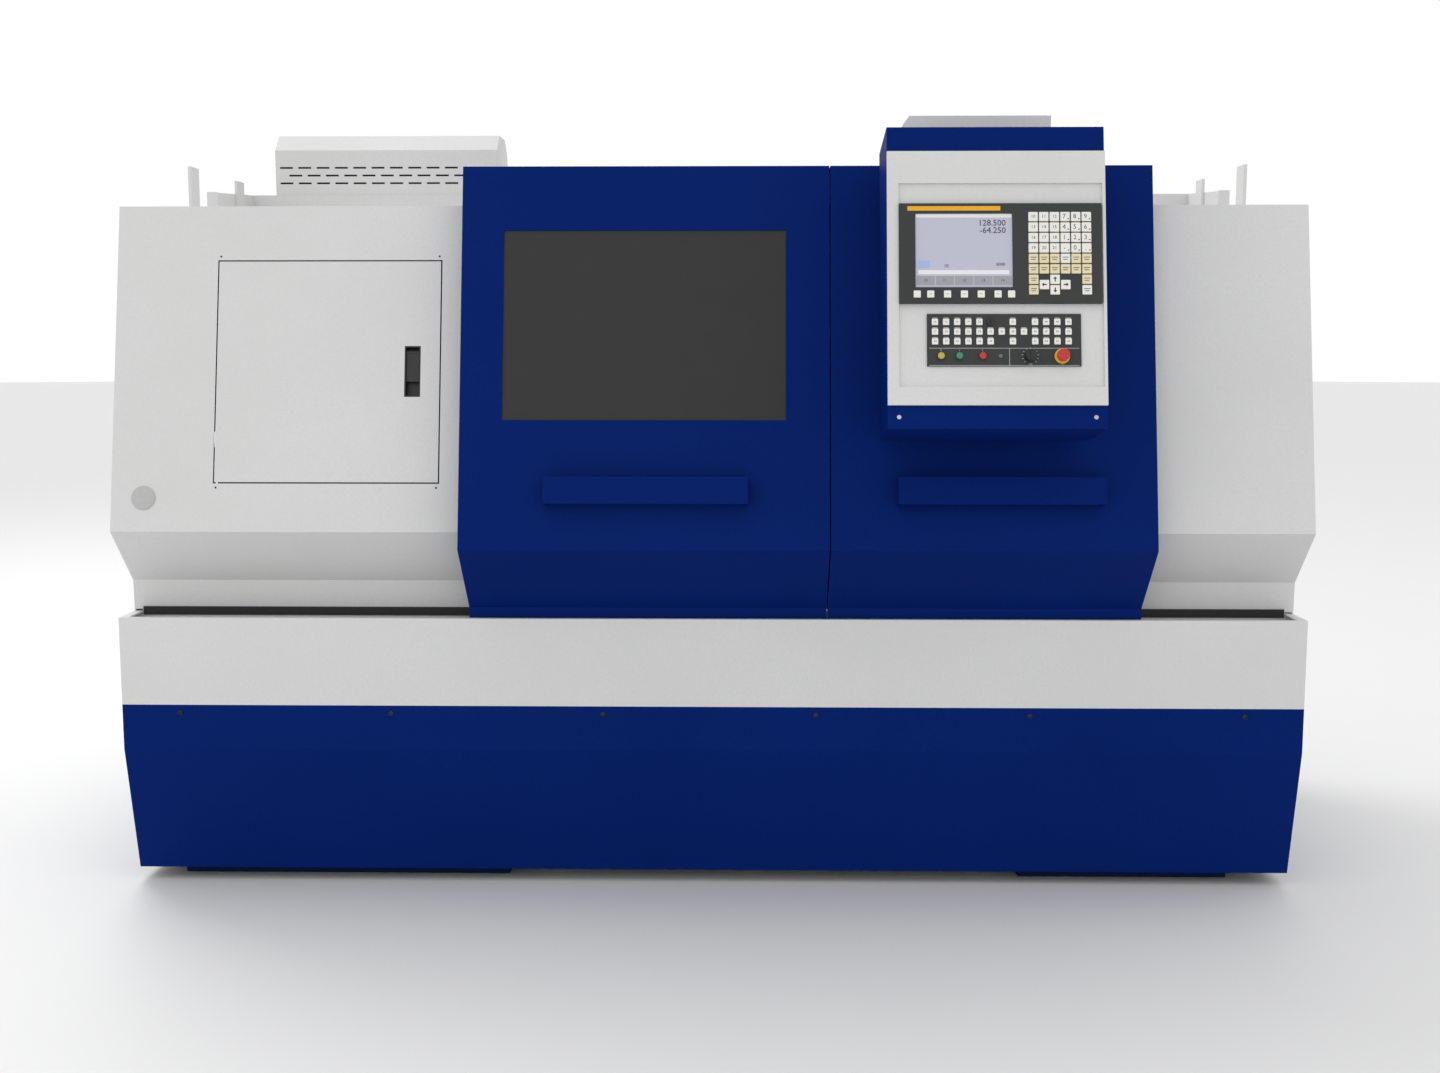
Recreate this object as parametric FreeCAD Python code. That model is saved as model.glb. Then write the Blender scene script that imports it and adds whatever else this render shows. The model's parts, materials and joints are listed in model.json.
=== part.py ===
"""Flat-bed CNC turning lathe with a sheet-metal enclosure, built piece by piece.

Millimetres. X runs along the spindle (headstock at -X), +Y points to the back of the machine and +Z up.
The origin is the centre of the footprint at floor level.
"""

import FreeCAD, Part
import math
import os

V = FreeCAD.Vector

# ---------------------------------------------------------------- driving dimensions
# Overall enclosure
LENGTH = 2600.0  # over the end covers
SHEET = 3.0  # folded steel sheet of covers, doors and panels
RUN_GAP = 0.05  # oil film on flat slideways and in shaft bores
SAFE_GAP = 0.3  # gap between faces that pass each other without touching
HALF = LENGTH / 2

# Machine frame
PEDESTAL_TOP = 556.0
PEDESTAL_FRONT = -370.0
PEDESTAL_BACK = 370.0
PEDESTAL_WALL = 25.0
HEAD_PEDESTAL_X = (-1215.0, -465.0)
TAIL_PEDESTAL_X = (705.0, 1180.0)
PAN_PLATE = 4.0
BED_X = (-1200.0, 1180.0)
BED_HALF_WIDTH = 200.0
BED_HEIGHT = 300.0
WAY_WIDTH = 90.0
WAY_THICKNESS = 30.0
BED_WALL = 40.0
V_WAY_Y = -155.0
V_WAY_HEIGHT = 20.0
CENTRE_HEIGHT = 270.0  # spindle axis above the slideways

# Oil pan and base panels
PAN_FRONT = -491.0
PAN_BACK = 546.0
PAN_RIM = 617.0
BAND_BOTTOM = 422.0  # where the white band meets the kick panel
RIM_RETURN = 12.0
END_RIM_RETURN = 20.0
KICK_BEND = 323.0
KICK_FOOT = 31.0
KICK_FOOT_Y = -429.0
KICK_SCREW_Z = 404.0
KICK_SCREW_PITCH = 468.6
KICK_SCREWS = 6
LEDGE_Y = -400.0  # upright ledge that carries the covers
LEDGE_FLANGE = 28.0
LEDGE_TOP = 621.0
DRAIN_X = (-140.0, 430.0)  # swarf falls through here into the coolant tank
DRAIN_HALF_WIDTH = 140.0

# Covers, as (y, z) points down the front
COVER_TOP = (-382.0, 1515.0)
COVER_BEND = (-515.0, 810.0)
COVER_TUCK = (-399.0, 688.0)
COVER_FOOT = (-397.0, LEDGE_TOP)
END_WALL_BACK = 167.0
LEFT_COVER_INNER = -503.0
BULKHEAD_GATE_Y = (-330.0, 260.0)  # gap in the bulkhead for the bed and the feed screw
BULKHEAD_CHUCK_GAP = 15.0
RIGHT_COVER_INNER = 915.0
REAR_RETURN_Y = 170.0
REAR_RETURN_INSET = 7.0
REAR_RETURN_FLANGE = 28.0
REAR_RETURN_TOP = 1600.0
REAR_WALL_TOP = 1627.0

# Corner plates
POST_TOP = 1650.0
POST_WIDTH = 56.0
POST_PLATE = 8.0
FRONT_POST_Y = 49.0
REAR_POST_Y = 383.0

# Sliding doors, as (y, z) points down the front
DOOR_TOP = (-450.0, 1592.0)
DOOR_BEND = (-605.0, 783.0)
DOOR_TUCK = (-475.0, 640.0)
DOOR_FOOT = (-475.0, 609.0)
LEFT_DOOR_X = (-528.0, 256.3)
RIGHT_DOOR_X = (258.7, 943.0)
DOOR_RETURN = 55.0
DOOR_ROOF_BACK = -331.0
RAIL_WIDTH = 40.0
RAIL_HEIGHT = 50.0
RAIL_WALL = 4.0
LOWER_RAIL_Y = -440.0
LOWER_RAIL_WIDTH = 6.0
LOWER_RAIL_HEIGHT = 28.0
GLIDE_LENGTH = 60.0
GLIDE_INSET = 70.0
WINDOW_X = (-438.0, 164.0)
WINDOW_Z = (1054.0, 1455.0)
WINDOW_LAP = 10.0
WINDOW_PANE = 6.0
HANDLE_HEIGHT = 57.0
HANDLE_REACH = 40.0
HANDLE_PLATE = 4.0
HANDLE_TOP_Z = 932.0
LEFT_HANDLE_X = (-344.0, 84.0)
RIGHT_HANDLE_X = (397.0, 828.0)

# Access door in the left cover
ACCESS_X = (-1075.5, -588.0)
ACCESS_Z = (916.5, 1394.0)
ACCESS_GAP = 3.0
ACCESS_FLANGE = 18.0
ACCESS_PIN_R = 4.0
ACCESS_PIN_IN = 12.0  # pin axis in from the door's edge
ACCESS_PIN_DEEP = 10.0  # pin axis behind the door's face
ACCESS_BARREL_R = 6.5
ACCESS_ARM_DEEP = 28.0  # hinge arms pass behind the edge's swing
ACCESS_BARREL_LENGTH = 30.0
ACCESS_BARREL_DROP = 60.0
LATCH_X = (-664.5, -629.5)
LATCH_Z = (1100.0, 1210.0)
LATCH_DEPTH = 22.0
LATCH_WALL = 3.0
PADDLE_PLATE = 5.0
PADDLE_PIN_R = 2.5

# Operator console on the right door
CONSOLE_X = (358.5, 789.2)
CONSOLE_FACE_Y = -679.0  # at the height of the door's top
CONSOLE_ABOVE = 51.0  # blue band over the white panel
CONSOLE_BELOW = 46.0  # blue band under it
CONSOLE_PANEL = 508.0
CONSOLE_DEPTH = 172.0
CONSOLE_NECK_INSET = 70.0
PANEL_THICKNESS = 8.0
POCKET_DEPTH = 5.0
POCKET_X = (381.0, 783.0)
POCKET_DOWN = (65.0, 472.0)
SCREEN_X = (381.5, 780.0)  # standard display and key unit, 400 mm wide with its seal
SCREEN_DOWN = (107.0, 306.5)
SCREEN_THICKNESS = 10.0
PANEL_KEYS_X = (436.0, 738.0)
PANEL_KEYS_DOWN = (327.0, 431.0)
PANEL_KEYS_THICKNESS = 4.0
DUCT_X = (412.0, 726.0)
DUCT_TOP = 1696.0
DUCT_DEPTH = 100.0
DUCT_CHAMFER = 20.0

# Keys and buttons, in millimetres across the console face
KEY_SIZE = 18.6
KEY_RISE = 2.5
KEY_PITCH = 20.9
KEY_COLUMNS = 6
KEY_ROWS = 6
KEY_FIRST_X = 644.9
KEY_FIRST_DOWN = 134.5
SOFT_KEY_SIZE = 14.0
SOFT_KEY_PITCH = 33.0
SOFT_KEYS = 5
SOFT_KEY_FIRST_X = 442.8
SOFT_KEY_END_PITCH = 26.5  # from the first or last screen key to the page key beside it
SOFT_KEY_DOWN = 289.0
SMALL_KEY_SIZE = 12.4
SMALL_KEY_PITCH_X = 21.8
SMALL_KEY_PITCH_Y = 19.3
SMALL_KEY_FIRST_X = 451.4
SMALL_KEY_FIRST_DOWN = 343.3
BUTTON_DOWN = 411.0
BUTTON_R = 6.5
BUTTON_RISE = 7.0
BUTTON_BARREL_R = 5.0
BUTTON_TRAVEL = 3.0
YELLOW_BUTTON_X = 463.0
GREEN_BUTTON_X = 499.0
RED_BUTTON_X = 544.5
KEY_SWITCH_X = 560.0
KEY_SWITCH_R = 7.0
OVERRIDE_X = 638.0
OVERRIDE_R = 11.0
OVERRIDE_HEIGHT = 16.0
ESTOP_X = 700.5
ESTOP_R = 12.0
ESTOP_STEM_R = 6.0
ESTOP_HEIGHT = 18.0
ESTOP_TRAVEL = 4.0
STEM_DEPTH = 20.0

# Electric cabinet behind the rear wall
CABINET_X = (-1228.0, -328.0)
CABINET_BOTTOM = 556.0
CABINET_DEPTH = 212.85
CABINET_DOOR = 18.0
CABINET_DOOR_EDGE = 3.5  # hinge edge set in, so that it swings clear of the side wall
CABINET_LEG = 60.0
HOOD_X = (-1228.0, -611.0)
HOOD_FRONT = 552.0
HOOD_DEPTH = 188.0
HOOD_TOP = 1794.0
HOOD_CHAMFER = 44.0
SLOT_LENGTH = 36.0
SLOT_HEIGHT = 5.0
SLOT_PITCH = 51.0
SLOTS_PER_ROW = 11
SLOT_ROWS_Z = (1658.0, 1679.0, 1700.0)
CABINET_PIN_R = 6.0
LOCK_ESCUTCHEON = 3.0
LOCK_GRIP = 3.4

# Spindle drive
HEADSTOCK_X = (-1140.0, -640.0)
HEADSTOCK_HALF_WIDTH = 210.0
HEADSTOCK_TOP = 1350.0
HEADSTOCK_WALL = 25.0
BEARING_HOUSING = 50.0
BEARING_WIDTH = 46.0
BEARING_R = 95.0
SPINDLE_R = 60.0
SPINDLE_BORE_R = 41.0
BAR_HOLE_R = 50.0
SPINDLE_TAIL_R = 50.0
SPINDLE_TAIL_X = -1262.0
SPINDLE_NOSE_R = 105.0
SPINDLE_NOSE_X = (-639.0, -600.0)
PULLEY_X = (-1262.0, -1218.0)
SPINDLE_PULLEY_R = 130.0
MOTOR_PULLEY_R = 80.0
BELT_WIDTH = 36.0
BELT_THICKNESS = 8.0
MOTOR_Z = 300.0
MOTOR_R = 120.0
MOTOR_X = (-1160.0, -760.0)
MOTOR_SHAFT_R = 24.0
MOTOR_SHELF_Z = 160.0
CHUCK_R = 125.0
CHUCK_LENGTH = 105.0
CHUCK_BORE_R = 38.0
JAW_WIDTH = 30.0
JAW_RADII = (35.0, 115.0)
JAW_IN_BODY = 25.0
JAW_OUT = 45.0

# Carriage, cross slide and tool turret
SADDLE_X = (-400.0, 0.0)
SADDLE_Y = (-300.0, 240.0)
SADDLE_THICKNESS = 70.0
CROSS_RAIL_HEIGHT = 20.0
CROSS_RAIL_WIDTH = 30.0
APRON_X = (-300.0, -100.0)
APRON_BACK = -215.0
APRON_BOTTOM = 700.0
Z_SCREW_Y = -258.0
Z_SCREW_Z = 760.0
Z_SCREW_R = 20.0
Z_JOURNAL_R = 15.0
Z_SCREW_X = (-500.0, 1000.0)
Z_BRACKET = 30.0
Z_MOTOR_LENGTH = 190.0
Z_MOTOR_SIZE = 110.0
X_SCREW_R = 12.5
X_JOURNAL_R = 10.0
X_SCREW_DROP = 5.0  # screw axis below the saddle's top
X_MOTOR_LENGTH = 160.0
X_MOTOR_SIZE = 100.0
SLIDE_X = (-320.0, -80.0)
SLIDE_Y = (-390.0, -70.0)
SLIDE_THICKNESS = 50.0
TURRET_Y = -230.0
TURRET_BASE_R = 90.0
TURRET_BASE_HEIGHT = 60.0
TURRET_SIZE = 190.0
TURRET_HEIGHT = 100.0
TOOL_SHANK = 25.0
TOOL_LENGTH = 150.0
TOOL_OVERHANG = 35.0

# Tailstock
TAIL_BASE_X = (620.0, 880.0)
TAIL_BASE_HALF_WIDTH = 195.0
TAIL_BASE_HEIGHT = 100.0
TAIL_BARREL_X = (600.0, 900.0)
TAIL_BARREL_R = 75.0
QUILL_R = 40.0
QUILL_X = (560.0, 850.0)
QUILL_SCREW_R = 12.0
QUILL_SCREW_X = (700.0, 935.0)
TAIL_CAP = 20.0
CENTRE_SHANK_R = 15.0
CENTRE_BODY_R = 28.0
CENTRE_TIP_X = 480.0
HANDWHEEL_R = 100.0
HANDWHEEL_RIM_R = 11.0

# Coolant tank between the pedestals
TANK_X = (-440.0, 680.0)
TANK_Y = (-340.0, 480.0)
TANK_TOP = 330.0
TANK_FOOT = 25.0
PUMP_R = 60.0

# ---------------------------------------------------------------- worked-out places
PAN_FLOOR = PEDESTAL_TOP + PAN_PLATE
WAY_TOP = PAN_FLOOR + BED_HEIGHT
AXIS_Z = WAY_TOP + CENTRE_HEIGHT
DOOR_TILT = math.atan((DOOR_TOP[0] - DOOR_BEND[0]) / (DOOR_TOP[1] - DOOR_BEND[1]))
COVER_TILT = math.atan((COVER_TOP[0] - COVER_BEND[0]) / (COVER_TOP[1] - COVER_BEND[1]))
RAIL_FRONT = COVER_TOP[0] + SHEET / math.cos(COVER_TILT) + RUN_GAP
RAIL_BACK = RAIL_FRONT + RAIL_WIDTH
SADDLE_BOTTOM = WAY_TOP + RUN_GAP
SADDLE_TOP = WAY_TOP + SADDLE_THICKNESS
SLIDE_BOTTOM = SADDLE_TOP + CROSS_RAIL_HEIGHT + RUN_GAP
SLIDE_TOP = SLIDE_BOTTOM + SLIDE_THICKNESS
SLIDE_MID_X = (SLIDE_X[0] + SLIDE_X[1]) / 2
X_SCREW_Z = SADDLE_TOP - X_SCREW_DROP
TURRET_BOTTOM = SLIDE_TOP + TURRET_BASE_HEIGHT + SAFE_GAP
CHUCK_FACE = SPINDLE_NOSE_X[1] + CHUCK_LENGTH
CABINET_BACK = PAN_BACK + CABINET_DEPTH


# ---------------------------------------------------------------- small helpers
def box(x, y, z):
    """A box between the two numbers given along each axis."""
    return Part.makeBox(x[1] - x[0], y[1] - y[0], z[1] - z[0], V(x[0], y[0], z[0]))


def rod_x(x, y, z, radius):
    """A round bar along X between the two numbers in x."""
    return Part.makeCylinder(radius, x[1] - x[0], V(x[0], y, z), V(1, 0, 0))


def rod_y(x, y, z, radius):
    return Part.makeCylinder(radius, y[1] - y[0], V(x, y[0], z), V(0, 1, 0))


def rod_z(x, y, z, radius):
    return Part.makeCylinder(radius, z[1] - z[0], V(x, y, z[0]), V(0, 0, 1))


def prism_x(points, x):
    """A flat (y, z) outline drawn out along X."""
    corners = [V(x[0], y, z) for y, z in points]
    face = Part.Face(Part.makePolygon(corners + corners[:1]))
    return face.extrude(V(x[1] - x[0], 0, 0))


def offset_path(points, distance):
    """The (y, z) path moved sideways by the distance, with mitred corners."""
    normals = []
    for (y0, z0), (y1, z1) in zip(points, points[1:]):
        length = math.hypot(y1 - y0, z1 - z0)
        normals.append(((z0 - z1) / length, (y1 - y0) / length))
    moved = []
    for i, (y, z) in enumerate(points):
        a = normals[max(i - 1, 0)]
        b = normals[min(i, len(normals) - 1)]
        scale = distance / (1 + a[0] * b[0] + a[1] * b[1])
        moved.append((y + (a[0] + b[0]) * scale, z + (a[1] + b[1]) * scale))
    return moved


def folded_sheet(points, x, thickness=SHEET):
    """Sheet of even thickness folded along the path, which is its outer face."""
    return prism_x(points + offset_path(points, thickness)[::-1], x)


def fuse(shapes):
    """One solid out of touching or crossing shapes."""
    return shapes[0].multiFuse(shapes[1:]).removeSplitter()


def mirrored_x(shape):
    return shape.mirror(V(0, 0, 0), V(1, 0, 0))


def on_lean(shape, y, z, tilt):
    """Turns a shape drawn upright at the origin onto a face that leans back by tilt."""
    turned = shape.copy()
    turned.rotate(V(0, 0, 0), V(1, 0, 0), -math.degrees(tilt))
    turned.translate(V(0, y, z))
    return turned


def on_door(shape):
    """Local Y is the depth behind the door's face, and local Z is 0 at its top."""
    return on_lean(shape, *DOOR_TOP, DOOR_TILT)


def on_cover(shape):
    """Local Y is the depth behind the cover's face, and local Z is 0 at its top."""
    return on_lean(shape, *COVER_TOP, COVER_TILT)


def on_console(shape):
    """Local Y is the depth behind the console's face, and local Z is 0 at the panel's top."""
    return on_lean(shape, CONSOLE_FACE_Y, DOOR_TOP[1], DOOR_TILT)


def along_door(z):
    """Local height on the door's face of a height above the floor."""
    return (z - DOOR_TOP[1]) / math.cos(DOOR_TILT)


def along_cover(z):
    return (z - COVER_TOP[1]) / math.cos(COVER_TILT)


def grown(span, by):
    return (span[0] - by, span[1] + by)


# ---------------------------------------------------------------- machine frame
def pedestal(x):
    """Hollow cast box, open below, with an access window in its back wall."""
    y = (PEDESTAL_FRONT, PEDESTAL_BACK)
    body = box(x, y, (0, PEDESTAL_TOP))
    inside = box(grown(x, -PEDESTAL_WALL), grown(y, -PEDESTAL_WALL), (-1, PEDESTAL_TOP - PEDESTAL_WALL))
    window_x = grown(x, -3 * PEDESTAL_WALL)
    window_y = (PEDESTAL_BACK - 2 * PEDESTAL_WALL, PEDESTAL_BACK + 1)
    window = box(window_x, window_y, (80, PEDESTAL_TOP - 80))
    return body.cut(inside).cut(window)


def headstock_pedestal():
    """The left pedestal also carries the motor shelf and lets the motor shaft out."""
    x = HEAD_PEDESTAL_X
    inner_y = grown((PEDESTAL_FRONT, PEDESTAL_BACK), -PEDESTAL_WALL)
    shelf = box(grown(x, -PEDESTAL_WALL), inner_y, (MOTOR_SHELF_Z - PEDESTAL_WALL, MOTOR_SHELF_Z))
    shaft_hole = rod_x((x[0] - 1, x[0] + PEDESTAL_WALL + 1), 0, MOTOR_Z, 2 * MOTOR_SHAFT_R)
    return fuse([pedestal(x), shelf]).cut(shaft_hole)


def bed_rib(x):
    """Cross rib that ties the two bed walls together."""
    inner = BED_HALF_WIDTH - 10 - BED_WALL
    return box((x, x + 25), (-inner - 5, inner + 5), (PAN_FLOOR + 40, WAY_TOP - WAY_THICKNESS))


def v_way(clearance=0.0):
    """Raised V guide on the front slideway; the clearance makes it a cutter for the grooves."""
    half = V_WAY_HEIGHT + clearance
    points = [
        (V_WAY_Y - half, WAY_TOP - 1),
        (V_WAY_Y - half, WAY_TOP),
        (V_WAY_Y, WAY_TOP + half),
        (V_WAY_Y + half, WAY_TOP),
        (V_WAY_Y + half, WAY_TOP - 1),
    ]
    return prism_x(points, (HEADSTOCK_X[1] + 60, BED_X[1] + clearance))


def lathe_bed():
    """Cast bed: two walls with slideways on top, flanges below, ribs, and the left screw bearing."""
    solids = []
    wall_outer = BED_HALF_WIDTH - 10
    for side in (-1, 1):
        wall = sorted((side * wall_outer, side * (wall_outer - BED_WALL)))
        way = sorted((side * BED_HALF_WIDTH, side * (BED_HALF_WIDTH - WAY_WIDTH)))
        foot = sorted((side * (BED_HALF_WIDTH + 10), side * (BED_HALF_WIDTH - WAY_WIDTH + 10)))
        solids.append(box(BED_X, wall, (PAN_FLOOR, WAY_TOP)))
        solids.append(box(BED_X, way, (WAY_TOP - WAY_THICKNESS, WAY_TOP)))
        solids.append(box(BED_X, foot, (PAN_FLOOR, PAN_FLOOR + WAY_THICKNESS)))
    span = BED_X[1] - BED_X[0]
    bays = 8
    for i in range(1, bays):
        solids.append(bed_rib(BED_X[0] + span * i / bays))
    solids.append(bed_rib(BED_X[0]))
    solids.append(bed_rib(BED_X[1] - 25))
    deck_x = (BED_X[0], HEADSTOCK_X[1] + 40)
    solids.append(box(deck_x, (-BED_HALF_WIDTH, BED_HALF_WIDTH), (WAY_TOP - WAY_THICKNESS, WAY_TOP)))
    solids.append(v_way())
    bracket_x = (Z_SCREW_X[0] - SAFE_GAP - 2 * Z_BRACKET, Z_SCREW_X[0] - SAFE_GAP)
    bracket_z = (Z_SCREW_Z - Z_MOTOR_SIZE / 3, Z_SCREW_Z + Z_MOTOR_SIZE / 3)
    solids.append(box(bracket_x, (Z_SCREW_Y - Z_MOTOR_SIZE / 3, -wall_outer + 1), bracket_z))
    bore = rod_x(grown(bracket_x, 1), Z_SCREW_Y, Z_SCREW_Z, Z_JOURNAL_R + RUN_GAP)
    return fuse(solids).cut(bore)


# ---------------------------------------------------------------- oil pan and base panels
def oil_pan():
    """Welded pan on the pedestals: floor, rim, white skirt, cover ledge and lower door rail."""
    x = (-HALF, HALF)
    y = (PAN_FRONT, PAN_BACK)
    floor = box(x, y, (PEDESTAL_TOP, PAN_FLOOR))
    walls = box(x, y, (BAND_BOTTOM, PAN_RIM))
    walls = walls.cut(box(grown(x, -SHEET), grown(y, -SHEET), (0, PAN_RIM + 1)))
    rim = box(x, y, (PAN_RIM - SHEET, PAN_RIM))
    rim = rim.cut(box(grown(x, -END_RIM_RETURN), grown(y, -RIM_RETURN), (0, PAN_RIM + 1)))
    inner_x = grown(x, -SHEET)
    ledge = box(inner_x, (LEDGE_Y, LEDGE_Y + SHEET), (PAN_FLOOR, LEDGE_TOP))
    flange_x = grown(x, -END_RIM_RETURN)
    flange = box(flange_x, (LEDGE_Y, LEDGE_Y + LEDGE_FLANGE), (LEDGE_TOP - SHEET, LEDGE_TOP))
    ledge = ledge.cut(box((-HALF, -flange_x[1]), (LEDGE_Y - 1, 0), (PAN_RIM, LEDGE_TOP + 1)))
    ledge = ledge.cut(box((flange_x[1], HALF), (LEDGE_Y - 1, 0), (PAN_RIM, LEDGE_TOP + 1)))
    rail_y = (LOWER_RAIL_Y - LOWER_RAIL_WIDTH / 2, LOWER_RAIL_Y + LOWER_RAIL_WIDTH / 2)
    rail = box(inner_x, rail_y, (PAN_FLOOR, PAN_FLOOR + LOWER_RAIL_HEIGHT))
    fixing_z = (KICK_SCREW_Z - 18, BAND_BOTTOM + 20)
    fixing = box(inner_x, (PAN_FRONT + SHEET, PAN_FRONT + 2 * SHEET), fixing_z)
    rims = fuse([walls, rim, ledge, flange, rail, fixing]).cut(floor)
    floor_z = (PEDESTAL_TOP - 1, PAN_FLOOR + 1)
    floor = floor.cut(box(DRAIN_X, (-DRAIN_HALF_WIDTH, DRAIN_HALF_WIDTH), floor_z))
    belt_slot_y = SPINDLE_PULLEY_R + 3 * BELT_THICKNESS
    floor = floor.cut(box(grown(PULLEY_X, 6), (-belt_slot_y, belt_slot_y), floor_z))
    for hole in kick_screw_holes():
        rims = rims.cut(hole)
    return Part.makeCompound([floor] + pan_sides(rims))


def pan_sides(rims):
    """The pan's rims as four folded lengths: front with its ledge, back and the two ends."""
    z = (BAND_BOTTOM, LEDGE_TOP)
    front_y = (PAN_FRONT, LEDGE_Y + LEDGE_FLANGE)
    back_y = (PAN_BACK - RIM_RETURN, PAN_BACK)
    end_y = (front_y[1], back_y[0])
    zones = [box((-HALF, HALF), y, z) for y in (front_y, back_y)]
    zones += [box(x, end_y, z) for x in ((-HALF, 0), (0, HALF))]
    return [rims.common(zone) for zone in zones]


def kick_screw_holes():
    """Clearance holes for the row of screws along the top of the kick panel."""
    first = -KICK_SCREW_PITCH * (KICK_SCREWS - 1) / 2
    centres = [first + i * KICK_SCREW_PITCH for i in range(KICK_SCREWS)]
    return [rod_y(x, (PAN_FRONT - 1, PAN_FRONT + 3 * SHEET), KICK_SCREW_Z, 4.0) for x in centres]


def kick_path():
    return [(PAN_FRONT, BAND_BOTTOM), (PAN_FRONT, KICK_BEND), (KICK_FOOT_Y, KICK_FOOT)]


def front_kick_panel():
    """Folded panel below the white band, leaning back to its foot."""
    panel = folded_sheet(kick_path(), (-HALF, HALF))
    for hole in kick_screw_holes():
        panel = panel.cut(hole)
    return panel


def side_kick_panels():
    """Plain panels that close both ends and the back of the base, with a doorway for the tank."""
    inner = offset_path(kick_path(), SHEET)
    outline = inner + [(PAN_BACK, KICK_FOOT), (PAN_BACK, BAND_BOTTOM)]
    left = prism_x(outline, (-HALF, -HALF + SHEET))
    back_y = (PAN_BACK - SHEET, PAN_BACK)
    doorway = grown(TANK_X, 15)
    back = [
        box((-HALF + SHEET, doorway[0]), back_y, (KICK_FOOT, BAND_BOTTOM)),
        box(doorway, back_y, (TANK_TOP + 60, BAND_BOTTOM)),
        box((doorway[1], HALF - SHEET), back_y, (KICK_FOOT, BAND_BOTTOM)),
    ]
    return Part.makeCompound([left, mirrored_x(left)] + back)


# ---------------------------------------------------------------- covers
def cover_path():
    return [COVER_TOP, COVER_BEND, COVER_TUCK, COVER_FOOT]


def cover_outline(foot, back):
    """Outline of an end wall that fills the cover's front profile."""
    return [COVER_TOP, COVER_BEND, COVER_TUCK, (COVER_FOOT[0], foot), (back, foot), (back, COVER_TOP[1])]


def rail_notch(x):
    """Room for the upper door rail where it passes a wall."""
    z = (COVER_TOP[1] - RAIL_HEIGHT - SAFE_GAP, COVER_TOP[1] + 1)
    return box(x, grown((RAIL_FRONT, RAIL_BACK), SAFE_GAP), z)


def cover_sheets(inner_x):
    """Front sheet, left end wall and roof of a cover that reaches in to inner_x, as three sheets."""
    front = folded_sheet(cover_path(), (-HALF, inner_x))
    end = prism_x(cover_outline(PAN_RIM, END_WALL_BACK), (-HALF, -HALF + SHEET)).cut(front)
    roof_z = (COVER_TOP[1] - SHEET, COVER_TOP[1])
    roof = box((-HALF, inner_x), (RAIL_BACK, END_WALL_BACK), roof_z)
    rear_x = (-HALF + REAR_RETURN_INSET + SHEET, inner_x)
    rear_roof = box(rear_x, (END_WALL_BACK, PAN_BACK - SHEET), roof_z)
    roof = fuse([roof, rear_roof]).cut(end)
    notch = rail_notch((-HALF + SHEET, inner_x + 1))
    sheets = [front.cut(notch), end.cut(notch), roof.cut(notch)]
    for post in left_posts():
        room = room_for(post)
        sheets = [sheet.cut(room) for sheet in sheets]
    return sheets


def room_for(shape):
    """A box slightly wider than the shape, to cut room for it."""
    b = shape.BoundBox
    return box((b.XMin, b.XMax), grown((b.YMin, b.YMax), SAFE_GAP), (b.ZMin, b.ZMax))


def bulkhead_sheets():
    """Inner end of the left cover: a wing each side of the chuck and a strip over it."""
    inner_path = offset_path(cover_path(), SHEET)
    foot_y = LEDGE_Y + LEDGE_FLANGE + SAFE_GAP
    outline = inner_path[:3] + [
        (inner_path[3][0], LEDGE_TOP),
        (foot_y, LEDGE_TOP),
        (foot_y, PAN_FLOOR),
        (PAN_BACK - RIM_RETURN - SAFE_GAP, PAN_FLOOR),
        (PAN_BACK - RIM_RETURN - SAFE_GAP, PAN_RIM),
        (PAN_BACK - SHEET, PAN_RIM),
        (PAN_BACK - SHEET, COVER_TOP[1]),
    ]
    wall = prism_x(outline, (LEFT_COVER_INNER - SHEET, LEFT_COVER_INNER))
    through = (LEFT_COVER_INNER - 2 * SHEET, LEFT_COVER_INNER + SHEET)
    half = CHUCK_R + BULKHEAD_CHUCK_GAP
    wall = wall.cut(box(through, BULKHEAD_GATE_Y, (PAN_FLOOR - 1, WAY_TOP + 40)))
    wall = wall.cut(box(through, (-half, half), (WAY_TOP, AXIS_Z + half)))
    wall = wall.cut(rail_notch(through))
    spans = ((PAN_FRONT, -half), (-half, half), (half, PAN_BACK))
    return [wall.common(box(through, y, (PAN_FLOOR, COVER_TOP[1]))) for y in spans]


def access_opening():
    """Cutter for the access opening in the left cover's leaning face."""
    local_z = (along_cover(ACCESS_Z[0]), along_cover(ACCESS_Z[1]))
    return on_cover(box(grown(ACCESS_X, ACCESS_GAP), (-5, 2 * SHEET), grown(local_z, ACCESS_GAP)))


def access_pin_places():
    """Local heights of the middle of the two access door hinges."""
    low, high = along_cover(ACCESS_Z[0]), along_cover(ACCESS_Z[1])
    return [low + ACCESS_BARREL_DROP, high - ACCESS_BARREL_DROP]


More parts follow.
